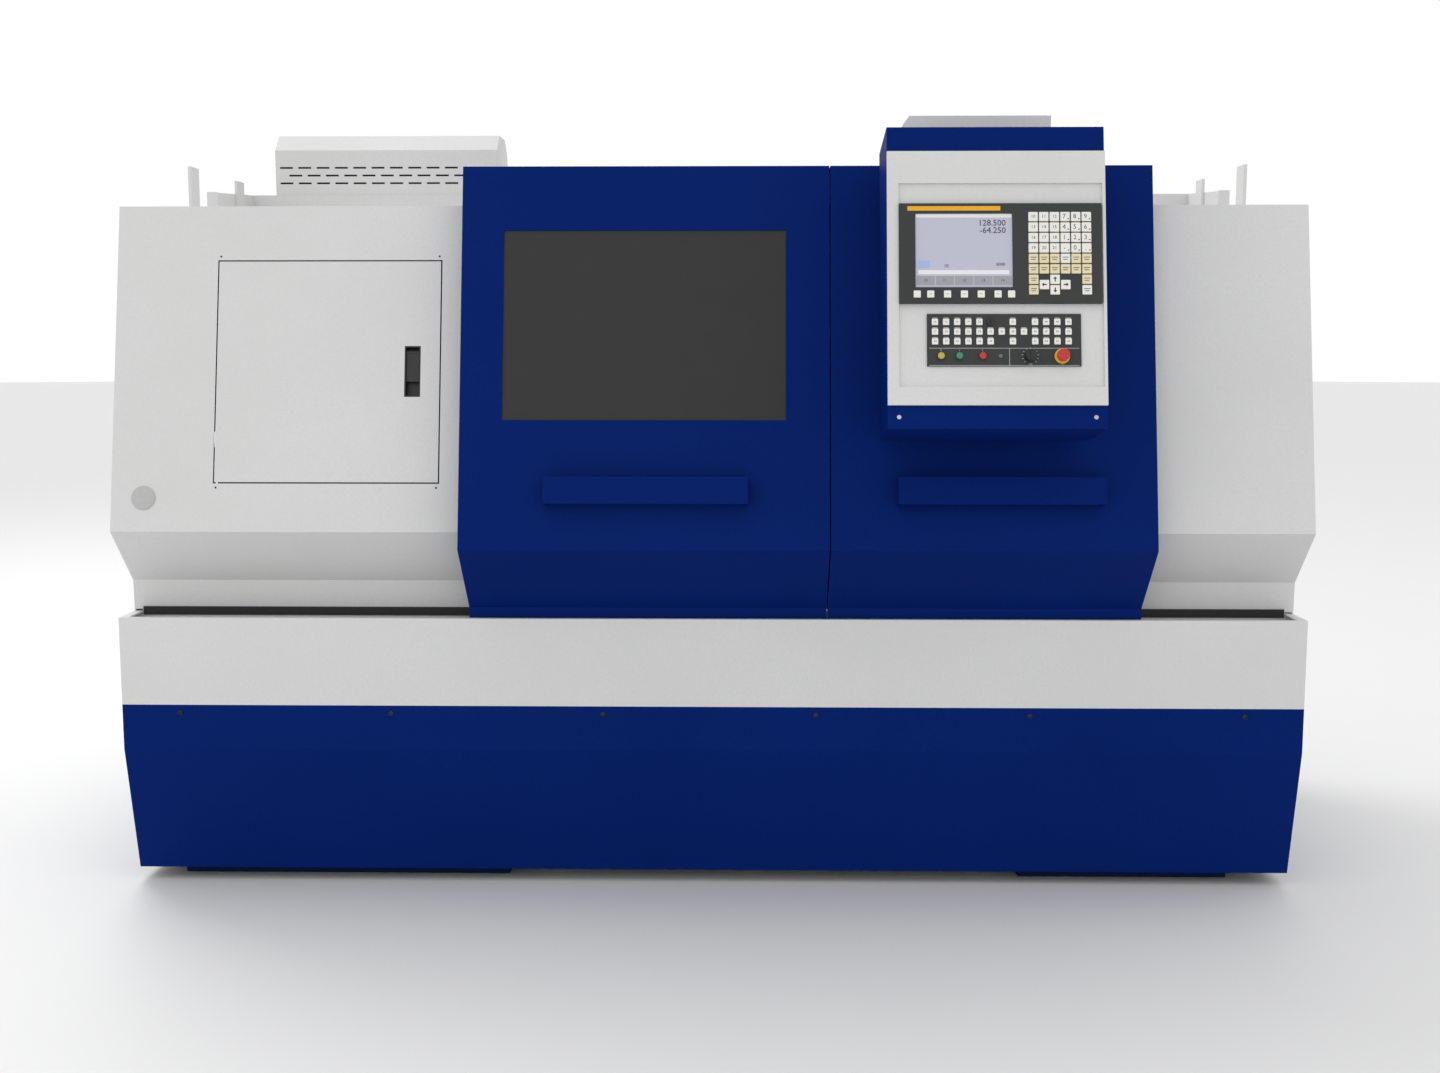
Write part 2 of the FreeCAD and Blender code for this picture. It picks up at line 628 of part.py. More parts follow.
def access_pin_brackets():
    """Hinge pins held by ears that reach round behind the door's swinging edge."""
    parts = []
    axis_x = ACCESS_X[0] + ACCESS_PIN_IN
    ear = 4.0
    arm_y = (ACCESS_ARM_DEEP, ACCESS_ARM_DEEP + 5)
    stem_x = (ACCESS_X[0] - 30, ACCESS_X[0] - ACCESS_GAP - 8)
    for middle in access_pin_places():
        half = ACCESS_BARREL_LENGTH / 2
        pin_z = middle - half - ear - SAFE_GAP
        pin_length = ACCESS_BARREL_LENGTH + 2 * (ear + SAFE_GAP)
        pin = Part.makeCylinder(ACCESS_PIN_R, pin_length, V(axis_x, ACCESS_PIN_DEEP, pin_z), V(0, 0, 1))
        parts.append(pin)
        for low in (pin_z, middle + half + SAFE_GAP):
            lug_x = (axis_x - ACCESS_PIN_R + 1, axis_x + ACCESS_PIN_R + 2)
            lug = box(lug_x, (ACCESS_PIN_DEEP - ACCESS_PIN_R - 1, arm_y[1]), (low, low + ear))
            arm = box((stem_x[0], lug_x[1]), arm_y, (low, low + ear))
            parts.extend([lug, arm])
        parts.append(box(stem_x, (SHEET - 1, arm_y[1]), (pin_z, pin_z + pin_length)))
    return [on_cover(part) for part in parts]


def left_cover():
    """Front sheet with the access opening, end wall with the bar hole, roof and bulkhead."""
    front, end, roof = cover_sheets(LEFT_COVER_INNER)
    front = fuse([front.cut(access_opening())] + access_pin_brackets())
    bar_hole = rod_x((-HALF - 1, -HALF + SHEET + 1), 0, AXIS_Z, BAR_HOLE_R)
    bulkhead = [sheet.cut(roof).cut(front) for sheet in bulkhead_sheets()]
    return Part.makeCompound([front, end.cut(bar_hole), roof] + bulkhead)


def right_cover():
    return mirrored_x(Part.makeCompound(cover_sheets(-RIGHT_COVER_INNER)))


def rear_cover():
    """Back wall with a side return at each end; each return shows a narrow flange to the front."""
    wall_x = grown((-HALF, HALF), -REAR_RETURN_INSET)
    wall = box(wall_x, (PAN_BACK - SHEET, PAN_BACK), (PAN_RIM, REAR_WALL_TOP))
    side_x = (-HALF + REAR_RETURN_INSET, -HALF + REAR_RETURN_INSET + SHEET)
    outline = [
        (REAR_RETURN_Y, PAN_RIM),
        (REAR_RETURN_Y, REAR_RETURN_TOP),
        (PAN_BACK, REAR_WALL_TOP),
        (PAN_BACK, PAN_RIM),
    ]
    side = prism_x(outline, side_x)
    flange_x = (side_x[0], side_x[0] + REAR_RETURN_FLANGE)
    flange = box(flange_x, (REAR_RETURN_Y, REAR_RETURN_Y + SHEET), (COVER_TOP[1], REAR_RETURN_TOP))
    left = fuse([side, flange]).cut(wall)
    return Part.makeCompound([wall, left, mirrored_x(left)])


def left_posts():
    """Front and rear upright plates at the left end."""
    front_x = -HALF + SHEET
    rear_x = -HALF + REAR_RETURN_INSET + SHEET
    places = ((front_x, FRONT_POST_Y), (rear_x, REAR_POST_Y))
    return [box((x, x + POST_PLATE), (y, y + POST_WIDTH), (PAN_RIM, POST_TOP)) for x, y in places]


def corner_posts():
    """Four upright plates that carry the covers and stand out above them."""
    posts = left_posts()
    return Part.makeCompound(posts + [mirrored_x(post) for post in posts])


def door_upper_rail():
    """Channel open upwards, let into the covers' roofs and crossing the door opening."""
    x = (-HALF + SHEET, HALF - SHEET)
    z = (COVER_TOP[1] - RAIL_HEIGHT, COVER_TOP[1])
    channel = box(x, (RAIL_FRONT, RAIL_BACK), z)
    hollow_y = (RAIL_FRONT + RAIL_WALL, RAIL_BACK - RAIL_WALL)
    return channel.cut(box(grown(x, 1), hollow_y, (z[0] + RAIL_WALL, z[1] + 1)))


# ---------------------------------------------------------------- sliding doors
def door_shell(x):
    """Folded door skin with a roof strip over the rail and a return down each side."""
    path = [DOOR_TOP, DOOR_BEND, DOOR_TUCK, DOOR_FOOT]
    skin = folded_sheet(path, x)
    roof = box(x, (DOOR_TOP[0], DOOR_ROOF_BACK), (DOOR_TOP[1] - SHEET, DOOR_TOP[1]))
    outer = path[:3]
    inner = offset_path(path, DOOR_RETURN)[:3]
    inner[0] = (inner[0][0] + (DOOR_TOP[1] - inner[0][1]) * math.tan(DOOR_TILT), DOOR_TOP[1])
    inner[2] = (inner[2][0], max(inner[2][1], DOOR_TUCK[1]))
    web = outer + inner[::-1]
    left = prism_x(web, (x[0], x[0] + SHEET))
    right = prism_x(web, (x[1] - SHEET, x[1]))
    return fuse([skin, roof, left, right])


def left_door_panel():
    window_z = (along_door(WINDOW_Z[0]), along_door(WINDOW_Z[1]))
    window = on_door(box(WINDOW_X, (-5, 2 * SHEET), window_z))
    return door_shell(LEFT_DOOR_X).cut(window)


def left_door_window():
    """Laminated pane behind the door skin."""
    window_z = (along_door(WINDOW_Z[0]), along_door(WINDOW_Z[1]))
    pane = box(grown(WINDOW_X, WINDOW_LAP), (SHEET, SHEET + WINDOW_PANE), grown(window_z, WINDOW_LAP))
    return on_door(pane)


def door_glides(x):
    """Nylon shoes on steel hangers: two in the upper channel, two over the lower rail."""
    parts = []
    shoe_y = grown((RAIL_FRONT + RAIL_WALL, RAIL_BACK - RAIL_WALL), -2 * SAFE_GAP)
    shoe_z = (COVER_TOP[1] - RAIL_HEIGHT + RAIL_WALL + 2 * SAFE_GAP, COVER_TOP[1] - 12)
    middle_y = (RAIL_FRONT + RAIL_BACK) / 2
    low_shoe_z = (PAN_FLOOR + 10, PAN_FLOOR + LOWER_RAIL_HEIGHT + 16)
    rail_y = (LOWER_RAIL_Y - LOWER_RAIL_WIDTH / 2, LOWER_RAIL_Y + LOWER_RAIL_WIDTH / 2)
    for start in (x[0] + GLIDE_INSET, x[1] - GLIDE_INSET - GLIDE_LENGTH):
        span = (start, start + GLIDE_LENGTH)
        shoe = box(span, shoe_y, shoe_z)
        hanger = box(span, (middle_y - 3, middle_y + 3), (shoe_z[1], DOOR_TOP[1] - SHEET))
        low_shoe = box(span, (LOWER_RAIL_Y - 14, LOWER_RAIL_Y + 14), low_shoe_z)
        slot_z = (low_shoe_z[0] - 1, PAN_FLOOR + LOWER_RAIL_HEIGHT + SAFE_GAP)
        low_shoe = low_shoe.cut(box(grown(span, 1), grown(rail_y, SAFE_GAP), slot_z))
        bracket_top = DOOR_TUCK[1] - 6
        low_shelf_z = (low_shoe_z[1], low_shoe_z[1] + 4)
        low_shelf = box(span, (DOOR_TUCK[0] + SHEET, LOWER_RAIL_Y + 14), low_shelf_z)
        low_tab_y = (DOOR_TUCK[0] + SHEET, DOOR_TUCK[0] + 2 * SHEET)
        low_tab = box(span, low_tab_y, (low_shoe_z[1], bracket_top))
        parts.extend([shoe, hanger, low_shoe, fuse([low_shelf, low_tab])])
    return Part.makeCompound(parts)


def door_handle(x):
    """Wide pull bar of folded plate, held off the door by its two ends."""
    top = along_door(HANDLE_TOP_Z)
    z = (top - HANDLE_HEIGHT, top)
    bar = box(x, (-HANDLE_REACH, 0), z)
    gap = box(grown(x, -HANDLE_PLATE), (-HANDLE_REACH + HANDLE_PLATE, 1), grown(z, 1))
    return on_door(bar.cut(gap))


# ---------------------------------------------------------------- access door
def access_door():
    """Flush door in the left cover, with stiffening flanges and two hinge barrels."""
    z = (along_cover(ACCESS_Z[0]), along_cover(ACCESS_Z[1]))
    skin = box(ACCESS_X, (0, SHEET), z)
    frame_x = (ACCESS_X[0] + 2 * ACCESS_PIN_IN + 8, ACCESS_X[1] - 6)
    frame = box(frame_x, (SHEET, ACCESS_FLANGE), grown(z, -6))
    frame = frame.cut(box(grown(frame_x, -SHEET), (0, ACCESS_FLANGE + 1), grown(z, -6 - SHEET)))
    parts = [skin, frame]
    axis_x = ACCESS_X[0] + ACCESS_PIN_IN
    for middle in access_pin_places():
        low = middle - ACCESS_BARREL_LENGTH / 2
        high = middle + ACCESS_BARREL_LENGTH / 2
        start = V(axis_x, ACCESS_PIN_DEEP, low)
        parts.append(Part.makeCylinder(ACCESS_BARREL_R, ACCESS_BARREL_LENGTH, start, V(0, 0, 1)))
        parts.append(box((axis_x, frame_x[0] + 1), (SHEET - 1, ACCESS_PIN_DEEP + 4), (low, high)))
    door = fuse(parts)
    for middle in access_pin_places():
        start = V(axis_x, ACCESS_PIN_DEEP, middle - ACCESS_BARREL_LENGTH)
        hole_r = ACCESS_PIN_R + RUN_GAP
        door = door.cut(Part.makeCylinder(hole_r, 2 * ACCESS_BARREL_LENGTH, start, V(0, 0, 1)))
    latch_z = (along_cover(LATCH_Z[0]), along_cover(LATCH_Z[1]))
    return on_cover(door.cut(box(LATCH_X, (-1, 2 * SHEET), latch_z)))


def latch_pivot():
    """Local depth and height of the paddle's pin."""
    return 8.0, along_cover(LATCH_Z[1]) - 14.0


def latch_housing():
    """Recessed cup of the latch, pressed into the access door."""
    z = (along_cover(LATCH_Z[0]), along_cover(LATCH_Z[1]))
    cup = box(LATCH_X, (0, LATCH_DEPTH), z)
    pocket = box(grown(LATCH_X, -LATCH_WALL), (-1, LATCH_DEPTH - LATCH_WALL), grown(z, -LATCH_WALL))
    depth, height = latch_pivot()
    pin_x = grown(LATCH_X, -LATCH_WALL / 2)
    pin = rod_x(pin_x, depth, height, PADDLE_PIN_R)
    return on_cover(fuse([cup.cut(pocket), pin]))


def latch_paddle():
    """Lever that is pulled out at its lower end."""
    depth, height = latch_pivot()
    x = grown(LATCH_X, -LATCH_WALL - 1.0)
    bottom = along_cover(LATCH_Z[0]) + 34.0
    plate = box(x, (depth - PADDLE_PLATE, depth), (bottom, height))
    knuckle = rod_x(x, depth, height, PADDLE_PLATE + 1)
    bore = rod_x(grown(x, 1), depth, height, PADDLE_PIN_R + RUN_GAP)
    return on_cover(fuse([plate, knuckle]).cut(bore))


# ---------------------------------------------------------------- operator console
def console_box():
    """Blue sheet housing, open where the white panel closes it, on a neck from the door."""
    z = (-CONSOLE_PANEL - CONSOLE_BELOW, CONSOLE_ABOVE)
    outer = box(CONSOLE_X, (0, CONSOLE_DEPTH), z)
    inner = box(grown(CONSOLE_X, -SHEET), (SHEET, CONSOLE_DEPTH - SHEET), grown(z, -SHEET))
    mouth = box(grown(CONSOLE_X, -12), (-1, SHEET + 1), (-CONSOLE_PANEL + 12, -12))
    to_door = (DOOR_TOP[0] - CONSOLE_FACE_Y) * math.cos(DOOR_TILT)
    neck_x = grown(CONSOLE_X, -CONSOLE_NECK_INSET)
    neck_z = (-CONSOLE_PANEL + CONSOLE_NECK_INSET, -CONSOLE_NECK_INSET)
    neck = box(neck_x, (CONSOLE_DEPTH - 1, to_door), neck_z)
    neck = neck.cut(box(grown(neck_x, -SHEET), (0, to_door + 1), grown(neck_z, -SHEET)))
    return on_console(fuse([outer.cut(inner).cut(mouth), neck]))


def console_front_panel():
    """White front panel with a shallow pocket for the control units."""
    z = (-CONSOLE_PANEL, 0)
    panel = box(CONSOLE_X, (-PANEL_THICKNESS, 0), z)
    pocket_z = (-POCKET_DOWN[1], -POCKET_DOWN[0])
    panel = panel.cut(box(POCKET_X, (-PANEL_THICKNESS - 1, POCKET_DEPTH - PANEL_THICKNESS), pocket_z))
    for x, stem_r in button_stems():
        panel = panel.cut(rod_y(x, (-PANEL_THICKNESS, 1), -BUTTON_DOWN, stem_r + 2))
    return on_console(panel)


def pocket_floor():
    return POCKET_DEPTH - PANEL_THICKNESS


def button_stems():
    """Place across the panel and stem radius of everything that passes through it."""
    return [
        (YELLOW_BUTTON_X, BUTTON_BARREL_R),
        (GREEN_BUTTON_X, BUTTON_BARREL_R),
        (RED_BUTTON_X, BUTTON_BARREL_R),
        (OVERRIDE_X, ESTOP_STEM_R),
        (ESTOP_X, ESTOP_STEM_R),
    ]


def screen_unit():
    """Display and keypad frame with its sunk screen."""
    face = pocket_floor() - SCREEN_THICKNESS
    z = (-SCREEN_DOWN[1], -SCREEN_DOWN[0])
    unit = box(SCREEN_X, (face, pocket_floor()), z)
    glass_x = (SCREEN_X[0] + 31.6, SCREEN_X[0] + 223.5)
    glass = box(glass_x, (face - 1, face + 3), (z[1] - 168, z[1] - 19.5))
    return on_console(unit.cut(glass))


def operator_panel():
    """Lower key panel, bored for the buttons, the key switch, the knob and the stop button."""
    face = pocket_floor() - PANEL_KEYS_THICKNESS
    plate = box(PANEL_KEYS_X, (face, pocket_floor()), (-PANEL_KEYS_DOWN[1], -PANEL_KEYS_DOWN[0]))
    for x, stem_r in button_stems():
        plate = plate.cut(rod_y(x, (face - 1, pocket_floor() + 1), -BUTTON_DOWN, stem_r + RUN_GAP))
    lock_hole_y = (face - 1, pocket_floor() + 1)
    lock_hole = rod_y(KEY_SWITCH_X, lock_hole_y, -key_switch_down(), BUTTON_BARREL_R + RUN_GAP)
    return on_console(plate.cut(lock_hole))


def key_switch_down():
    return SMALL_KEY_FIRST_DOWN


def key_cap(x, down, size, base):
    """One key with its face standing proud of its panel."""
    half = size / 2
    return box((x - half, x + half), (base - KEY_RISE, base), (-down - half, -down + half))


def soft_key_places():
    """Screen keys under the display, with a page key at each end."""
    places = [SOFT_KEY_FIRST_X + i * SOFT_KEY_PITCH for i in range(SOFT_KEYS)]
    return [places[0] - SOFT_KEY_END_PITCH] + places + [places[-1] + SOFT_KEY_END_PITCH]


def console_keys():
    """All film-covered keys: letters, screen keys, arrow keys and operator keys."""
    screen_face = pocket_floor() - SCREEN_THICKNESS
    panel_face = pocket_floor() - PANEL_KEYS_THICKNESS
    keys = []
    for row in range(KEY_ROWS):
        for column in range(KEY_COLUMNS):
            x = KEY_FIRST_X + column * KEY_PITCH
            keys.append(key_cap(x, KEY_FIRST_DOWN + row * KEY_PITCH, KEY_SIZE, screen_face))
    for x in soft_key_places():
        keys.append(key_cap(x, SOFT_KEY_DOWN, SOFT_KEY_SIZE, screen_face))
    for column, row in ((1, 6.5), (3, 6.5), (2, 6), (2, 7), (0, 6), (0, 7), (5, 6), (5, 7)):
        x = KEY_FIRST_X + column * KEY_PITCH
        keys.append(key_cap(x, KEY_FIRST_DOWN + row * KEY_PITCH, KEY_SIZE, screen_face))
    for row in range(3):
        for column in operator_columns(row):
            x = SMALL_KEY_FIRST_X + column * SMALL_KEY_PITCH_X
            down = SMALL_KEY_FIRST_DOWN + row * SMALL_KEY_PITCH_Y
            keys.append(key_cap(x, down, SMALL_KEY_SIZE, panel_face))
    return on_console(Part.makeCompound(keys))


def operator_columns(row):
    """Columns that hold a key in each row of the operator panel."""
    left = [0, 1, 2, 3, 4] + ([5] if row else [])
    middle = [6, 7, 8] if row == 1 else [7]
    return left + middle + [9, 10, 11, 12]


def push_button(x):
    """Round button whose stem runs through the panel."""
    face = pocket_floor() - PANEL_KEYS_THICKNESS
    cap = rod_y(x, (face - BUTTON_RISE, face - BUTTON_TRAVEL - SAFE_GAP), -BUTTON_DOWN, BUTTON_R)
    stem = rod_y(x, (face - BUTTON_RISE, STEM_DEPTH), -BUTTON_DOWN, BUTTON_BARREL_R)
    return on_console(fuse([cap, stem]))


def key_switch():
    """Turning barrel of the program lock."""
    face = pocket_floor() - PANEL_KEYS_THICKNESS
    down = -key_switch_down()
    head = rod_y(KEY_SWITCH_X, (face - 5, face - SAFE_GAP), down, KEY_SWITCH_R)
    stem = rod_y(KEY_SWITCH_X, (face - 5, pocket_floor() - 0.5), down, BUTTON_BARREL_R)
    slot = box((KEY_SWITCH_X - 0.8, KEY_SWITCH_X + 0.8), (face - 6, face - 2), (down - 4, down + 4))
    return on_console(fuse([head, stem]).cut(slot))


def override_knob():
    """Feed override knob with a pointer ridge."""
    face = pocket_floor() - PANEL_KEYS_THICKNESS
    down = -BUTTON_DOWN
    top = face - OVERRIDE_HEIGHT
    knob = rod_y(OVERRIDE_X, (top, face - SAFE_GAP), down, OVERRIDE_R)
    ridge = box((OVERRIDE_X - 2, OVERRIDE_X + 2), (top - 2, top + 1), (down - 9, down + 9))
    stem = rod_y(OVERRIDE_X, (top, STEM_DEPTH), down, ESTOP_STEM_R)
    return on_console(fuse([knob, ridge, stem]))


def estop_head():
    """Red mushroom head of the emergency stop."""
    face = pocket_floor() - PANEL_KEYS_THICKNESS
    down = -BUTTON_DOWN
    cap = rod_y(ESTOP_X, (face - ESTOP_HEIGHT, face - ESTOP_HEIGHT + 9), down, ESTOP_R)
    stem = rod_y(ESTOP_X, (face - ESTOP_HEIGHT, STEM_DEPTH), down, ESTOP_STEM_R)
    return on_console(fuse([cap, stem]))


def console_duct():
    """White cable hood on the door's roof behind the console."""
    z = (DOOR_TOP[1], DUCT_TOP)
    y = (DOOR_TOP[0] + 2, DOOR_TOP[0] + 2 + DUCT_DEPTH)
    hood = box(DUCT_X, y, z)
    corner = Part.makePolygon([
        V(DUCT_X[0] - 1, y[0] - 1, z[1] + 1),
        V(DUCT_X[0] - 1, y[0] - 1, z[1] - DUCT_CHAMFER),
        V(DUCT_X[0] + DUCT_CHAMFER * 0.7, y[0] - 1, z[1] + 1),
        V(DUCT_X[0] - 1, y[0] - 1, z[1] + 1),
    ])
    hood = hood.cut(Part.Face(corner).extrude(V(0, DUCT_DEPTH + 2, 0)))
    inside_z = (z[0] - 1, z[1] - DUCT_CHAMFER - SHEET)
    return hood.cut(box(grown(DUCT_X, -SHEET), grown(y, -SHEET), inside_z))


# ---------------------------------------------------------------- electric cabinet
def cabinet_pin_axis():
    """Hinge axis of the cabinet door, seen from above."""
    return CABINET_X[0] + 10.0, CABINET_BACK + CABINET_DOOR / 2


def electric_cabinet():
    """Cabinet on four legs against the rear wall, open at the back for its door."""
    y = (PAN_BACK, CABINET_BACK)
    z = (CABINET_BOTTOM, REAR_WALL_TOP)
    side_y = (y[0] + SHEET, y[1])
    inner_x = grown(CABINET_X, -SHEET)
    hinge_side = [box((CABINET_X[0], inner_x[0]), side_y, z)]
    parts = [
        box(CABINET_X, (y[0], y[0] + SHEET), z),
        box((inner_x[1], CABINET_X[1]), side_y, z),
        box(inner_x, side_y, (z[0], z[0] + SHEET)),
        box(inner_x, side_y, (z[1] - SHEET, z[1])),
    ]
    for x in (CABINET_X[0], CABINET_X[1] - CABINET_LEG):
        for back in (y[0] + 10, y[1] - CABINET_LEG):
            parts.append(box((x, x + CABINET_LEG), (back, back + CABINET_LEG), (0, z[0])))
    pin_x, pin_y = cabinet_pin_axis()
    for low in (z[0] + 20.0, z[1] - 60.0):
        hinge_side.append(box((pin_x - 8, pin_x + 8), (y[1] - 20, pin_y + 8), (low, low + 5)))
        hinge_side.append(rod_z(pin_x, pin_y, (low + 1, low + 35), CABINET_PIN_R))
    return Part.makeCompound(parts + [fuse(hinge_side)])


def cabinet_door_z():
    return CABINET_BOTTOM + 25.0 + SAFE_GAP, REAR_WALL_TOP - 5.0


def cabinet_door():
    """Flat boxed door on lift-off pins."""
    pin_x, pin_y = cabinet_pin_axis()
    y = (CABINET_BACK + SAFE_GAP, CABINET_BACK + CABINET_DOOR)
    x = (CABINET_X[0] + CABINET_DOOR_EDGE, CABINET_X[1])
    z = cabinet_door_z()
    door = box(x, y, z).cut(box(grown(x, -20), (y[0] - 1, y[1] - SHEET), grown(z, -20)))
    upper_ear = REAR_WALL_TOP - 60.0
    for low, high in ((z[0] - 1, CABINET_BOTTOM + 70), (upper_ear - 40, upper_ear + 40)):
        door = door.cut(rod_z(pin_x, pin_y, (low, high), CABINET_PIN_R + RUN_GAP))
    ear_room = box((CABINET_X[0] - 1, pin_x + 12), (y[0] - 1, y[1] + 1), (upper_ear - 1, upper_ear + 6))
    door = door.cut(ear_room)
    lock_x, lock_z = lock_place()
    return door.cut(rod_y(lock_x, (y[0] - 1, y[1] + 1), lock_z, 8.0 + RUN_GAP))


def lock_place():
    return CABINET_X[1] - 60.0, (CABINET_BOTTOM + REAR_WALL_TOP) / 2


def cabinet_lock():
    """Quarter-turn lock: round shaft with a flat wing outside and a cam inside."""
    x, z = lock_place()
    back = CABINET_BACK + CABINET_DOOR
    wing = box((x - 11, x + 11), (back + SAFE_GAP, back + LOCK_ESCUTCHEON), (z - 70, z + 25))
    shaft = rod_y(x, (CABINET_BACK - 6, back + LOCK_ESCUTCHEON + LOCK_GRIP), z, 8.0)
    cam = box((x - 8, x + 8), (CABINET_BACK - 12, CABINET_BACK - 6), (z - 8, z + 34))
    return fuse([wing, shaft, cam])


def cabinet_hood():
    """Louvred cooling hood over the cabinet, sloped at front and back."""
    y = (HOOD_FRONT, HOOD_FRONT + HOOD_DEPTH)

    def outline(inset, foot):
        top = HOOD_TOP - inset
        edge = inset * math.tan(math.radians(22.5))
        return [
            (y[0] + inset, foot),
            (y[0] + inset, HOOD_TOP - HOOD_CHAMFER - edge),
            (y[0] + HOOD_CHAMFER + edge, top),
            (y[1] - HOOD_CHAMFER - edge, top),
            (y[1] - inset, HOOD_TOP - HOOD_CHAMFER - edge),
            (y[1] - inset, foot),
        ]

    hood = prism_x(outline(0, REAR_WALL_TOP), HOOD_X)
    hood = hood.cut(prism_x(outline(SHEET, REAR_WALL_TOP - 1), grown(HOOD_X, -SHEET)))
    slots = []
    for row, z in enumerate(SLOT_ROWS_Z):
        shift = SLOT_PITCH / 2 if row == 1 else 0.0
        for i in range(SLOTS_PER_ROW):
            x = HOOD_X[0] + 12 + shift + i * SLOT_PITCH
            slots.append(box((x, x + SLOT_LENGTH), (y[0] - 1, y[1] + 1), (z, z + SLOT_HEIGHT)))
    return hood.cut(Part.makeCompound(slots))


# ---------------------------------------------------------------- spindle drive
def headstock():
    """Cast housing on the bed with a bearing bore in each end."""
    x = HEADSTOCK_X
    y = (-HEADSTOCK_HALF_WIDTH, HEADSTOCK_HALF_WIDTH)
    body = box(x, y, (WAY_TOP, HEADSTOCK_TOP))
    hollow_x = (x[0] + BEARING_HOUSING, x[1] - BEARING_HOUSING)
    hollow_z = (WAY_TOP + HEADSTOCK_WALL, HEADSTOCK_TOP - HEADSTOCK_WALL)
    body = body.cut(box(hollow_x, grown(y, -HEADSTOCK_WALL), hollow_z))
    bore = rod_x(grown(x, 1), 0, AXIS_Z, BEARING_R + RUN_GAP)
    return body.cut(bore)


def bearing_places():
    inset = (BEARING_HOUSING - BEARING_WIDTH) / 2
    return [HEADSTOCK_X[0] + inset, HEADSTOCK_X[1] - inset - BEARING_WIDTH]


def spindle_bearings():
    """Front and rear bearing rings."""
    rings = []
    for x in bearing_places():
        ring = rod_x((x, x + BEARING_WIDTH), 0, AXIS_Z, BEARING_R)
        rings.append(ring.cut(rod_x((x - 1, x + BEARING_WIDTH + 1), 0, AXIS_Z, SPINDLE_R + RUN_GAP)))
    return Part.makeCompound(rings)


def spindle():
    """Hollow spindle with its nose flange, and the belt pulley keyed to its tail."""
    body = rod_x((PULLEY_X[1], SPINDLE_NOSE_X[0]), 0, AXIS_Z, SPINDLE_R)
    tail = rod_x((SPINDLE_TAIL_X, PULLEY_X[1]), 0, AXIS_Z, SPINDLE_TAIL_R)
    nose = rod_x(SPINDLE_NOSE_X, 0, AXIS_Z, SPINDLE_NOSE_R)
    through = rod_x((SPINDLE_TAIL_X - 1, SPINDLE_NOSE_X[1] + 1), 0, AXIS_Z, SPINDLE_BORE_R)
    pulley = rod_x(PULLEY_X, 0, AXIS_Z, SPINDLE_PULLEY_R)
    pulley = pulley.cut(rod_x(grown(PULLEY_X, 1), 0, AXIS_Z, SPINDLE_TAIL_R))
    return Part.makeCompound([fuse([body, tail, nose]).cut(through), pulley])


def main_motor():
    """Spindle motor on its feet, with a bored front end for the shaft."""
    body = rod_x(MOTOR_X, 0, MOTOR_Z, MOTOR_R)
    foot_x = grown(MOTOR_X, -60)
    foot = box(foot_x, (-100, 100), (MOTOR_SHELF_Z, MOTOR_Z - MOTOR_R / 2))
    terminal_z = (MOTOR_Z + MOTOR_R - 15, MOTOR_Z + MOTOR_R + 40)
    terminal = box((MOTOR_X[0] + 120, MOTOR_X[0] + 240), (-50, 50), terminal_z)
    bore = rod_x((MOTOR_X[0] - 1, MOTOR_X[0] + 140), 0, MOTOR_Z, MOTOR_SHAFT_R + RUN_GAP)
    return fuse([body, foot, terminal]).cut(bore)


def motor_pulley():
    """Motor shaft with its pulley."""
    shaft = rod_x((PULLEY_X[0], MOTOR_X[0] + 120), 0, MOTOR_Z, MOTOR_SHAFT_R)
    return fuse([shaft, rod_x(PULLEY_X, 0, MOTOR_Z, MOTOR_PULLEY_R)])


def belt_slab(lift, x):
    """Filled outline of the belt at the given height above the pulleys."""
    top_r = SPINDLE_PULLEY_R + lift
    low_r = MOTOR_PULLEY_R + lift
    lean = math.asin((top_r - low_r) / (AXIS_Z - MOTOR_Z))
    across, down = math.cos(lean), math.sin(lean)
    sides = [
        (top_r * across, AXIS_Z - top_r * down),
        (low_r * across, MOTOR_Z - low_r * down),
        (-low_r * across, MOTOR_Z - low_r * down),
        (-top_r * across, AXIS_Z - top_r * down),
    ]
    return fuse([prism_x(sides, x), rod_x(x, 0, AXIS_Z, top_r), rod_x(x, 0, MOTOR_Z, low_r)])


def drive_belt():
    """Closed belt round both pulleys."""
    middle = (PULLEY_X[0] + PULLEY_X[1]) / 2
    x = (middle - BELT_WIDTH / 2, middle + BELT_WIDTH / 2)
    return belt_slab(SAFE_GAP + BELT_THICKNESS, x).cut(belt_slab(SAFE_GAP, grown(x, 1)))


def turned(shape, degrees):
    """A copy turned about the spindle axis."""
    copy = shape.copy()
    copy.rotate(V(0, 0, AXIS_Z), V(1, 0, 0), degrees)
    return copy


def jaw_slot():
    x = (CHUCK_FACE - JAW_IN_BODY - SAFE_GAP, CHUCK_FACE + 1)
    half = JAW_WIDTH / 2 + RUN_GAP
    return box(x, (-half, half), (AXIS_Z, AXIS_Z + CHUCK_R + 1))


def chuck_body():
    """Chuck body with three radial jaw slots."""
    body = rod_x((SPINDLE_NOSE_X[1], CHUCK_FACE), 0, AXIS_Z, CHUCK_R)
    body = body.cut(rod_x((SPINDLE_NOSE_X[1] - 1, CHUCK_FACE + 1), 0, AXIS_Z, CHUCK_BORE_R))
    for i in range(3):
        body = body.cut(turned(jaw_slot(), 120 * i))
    return body


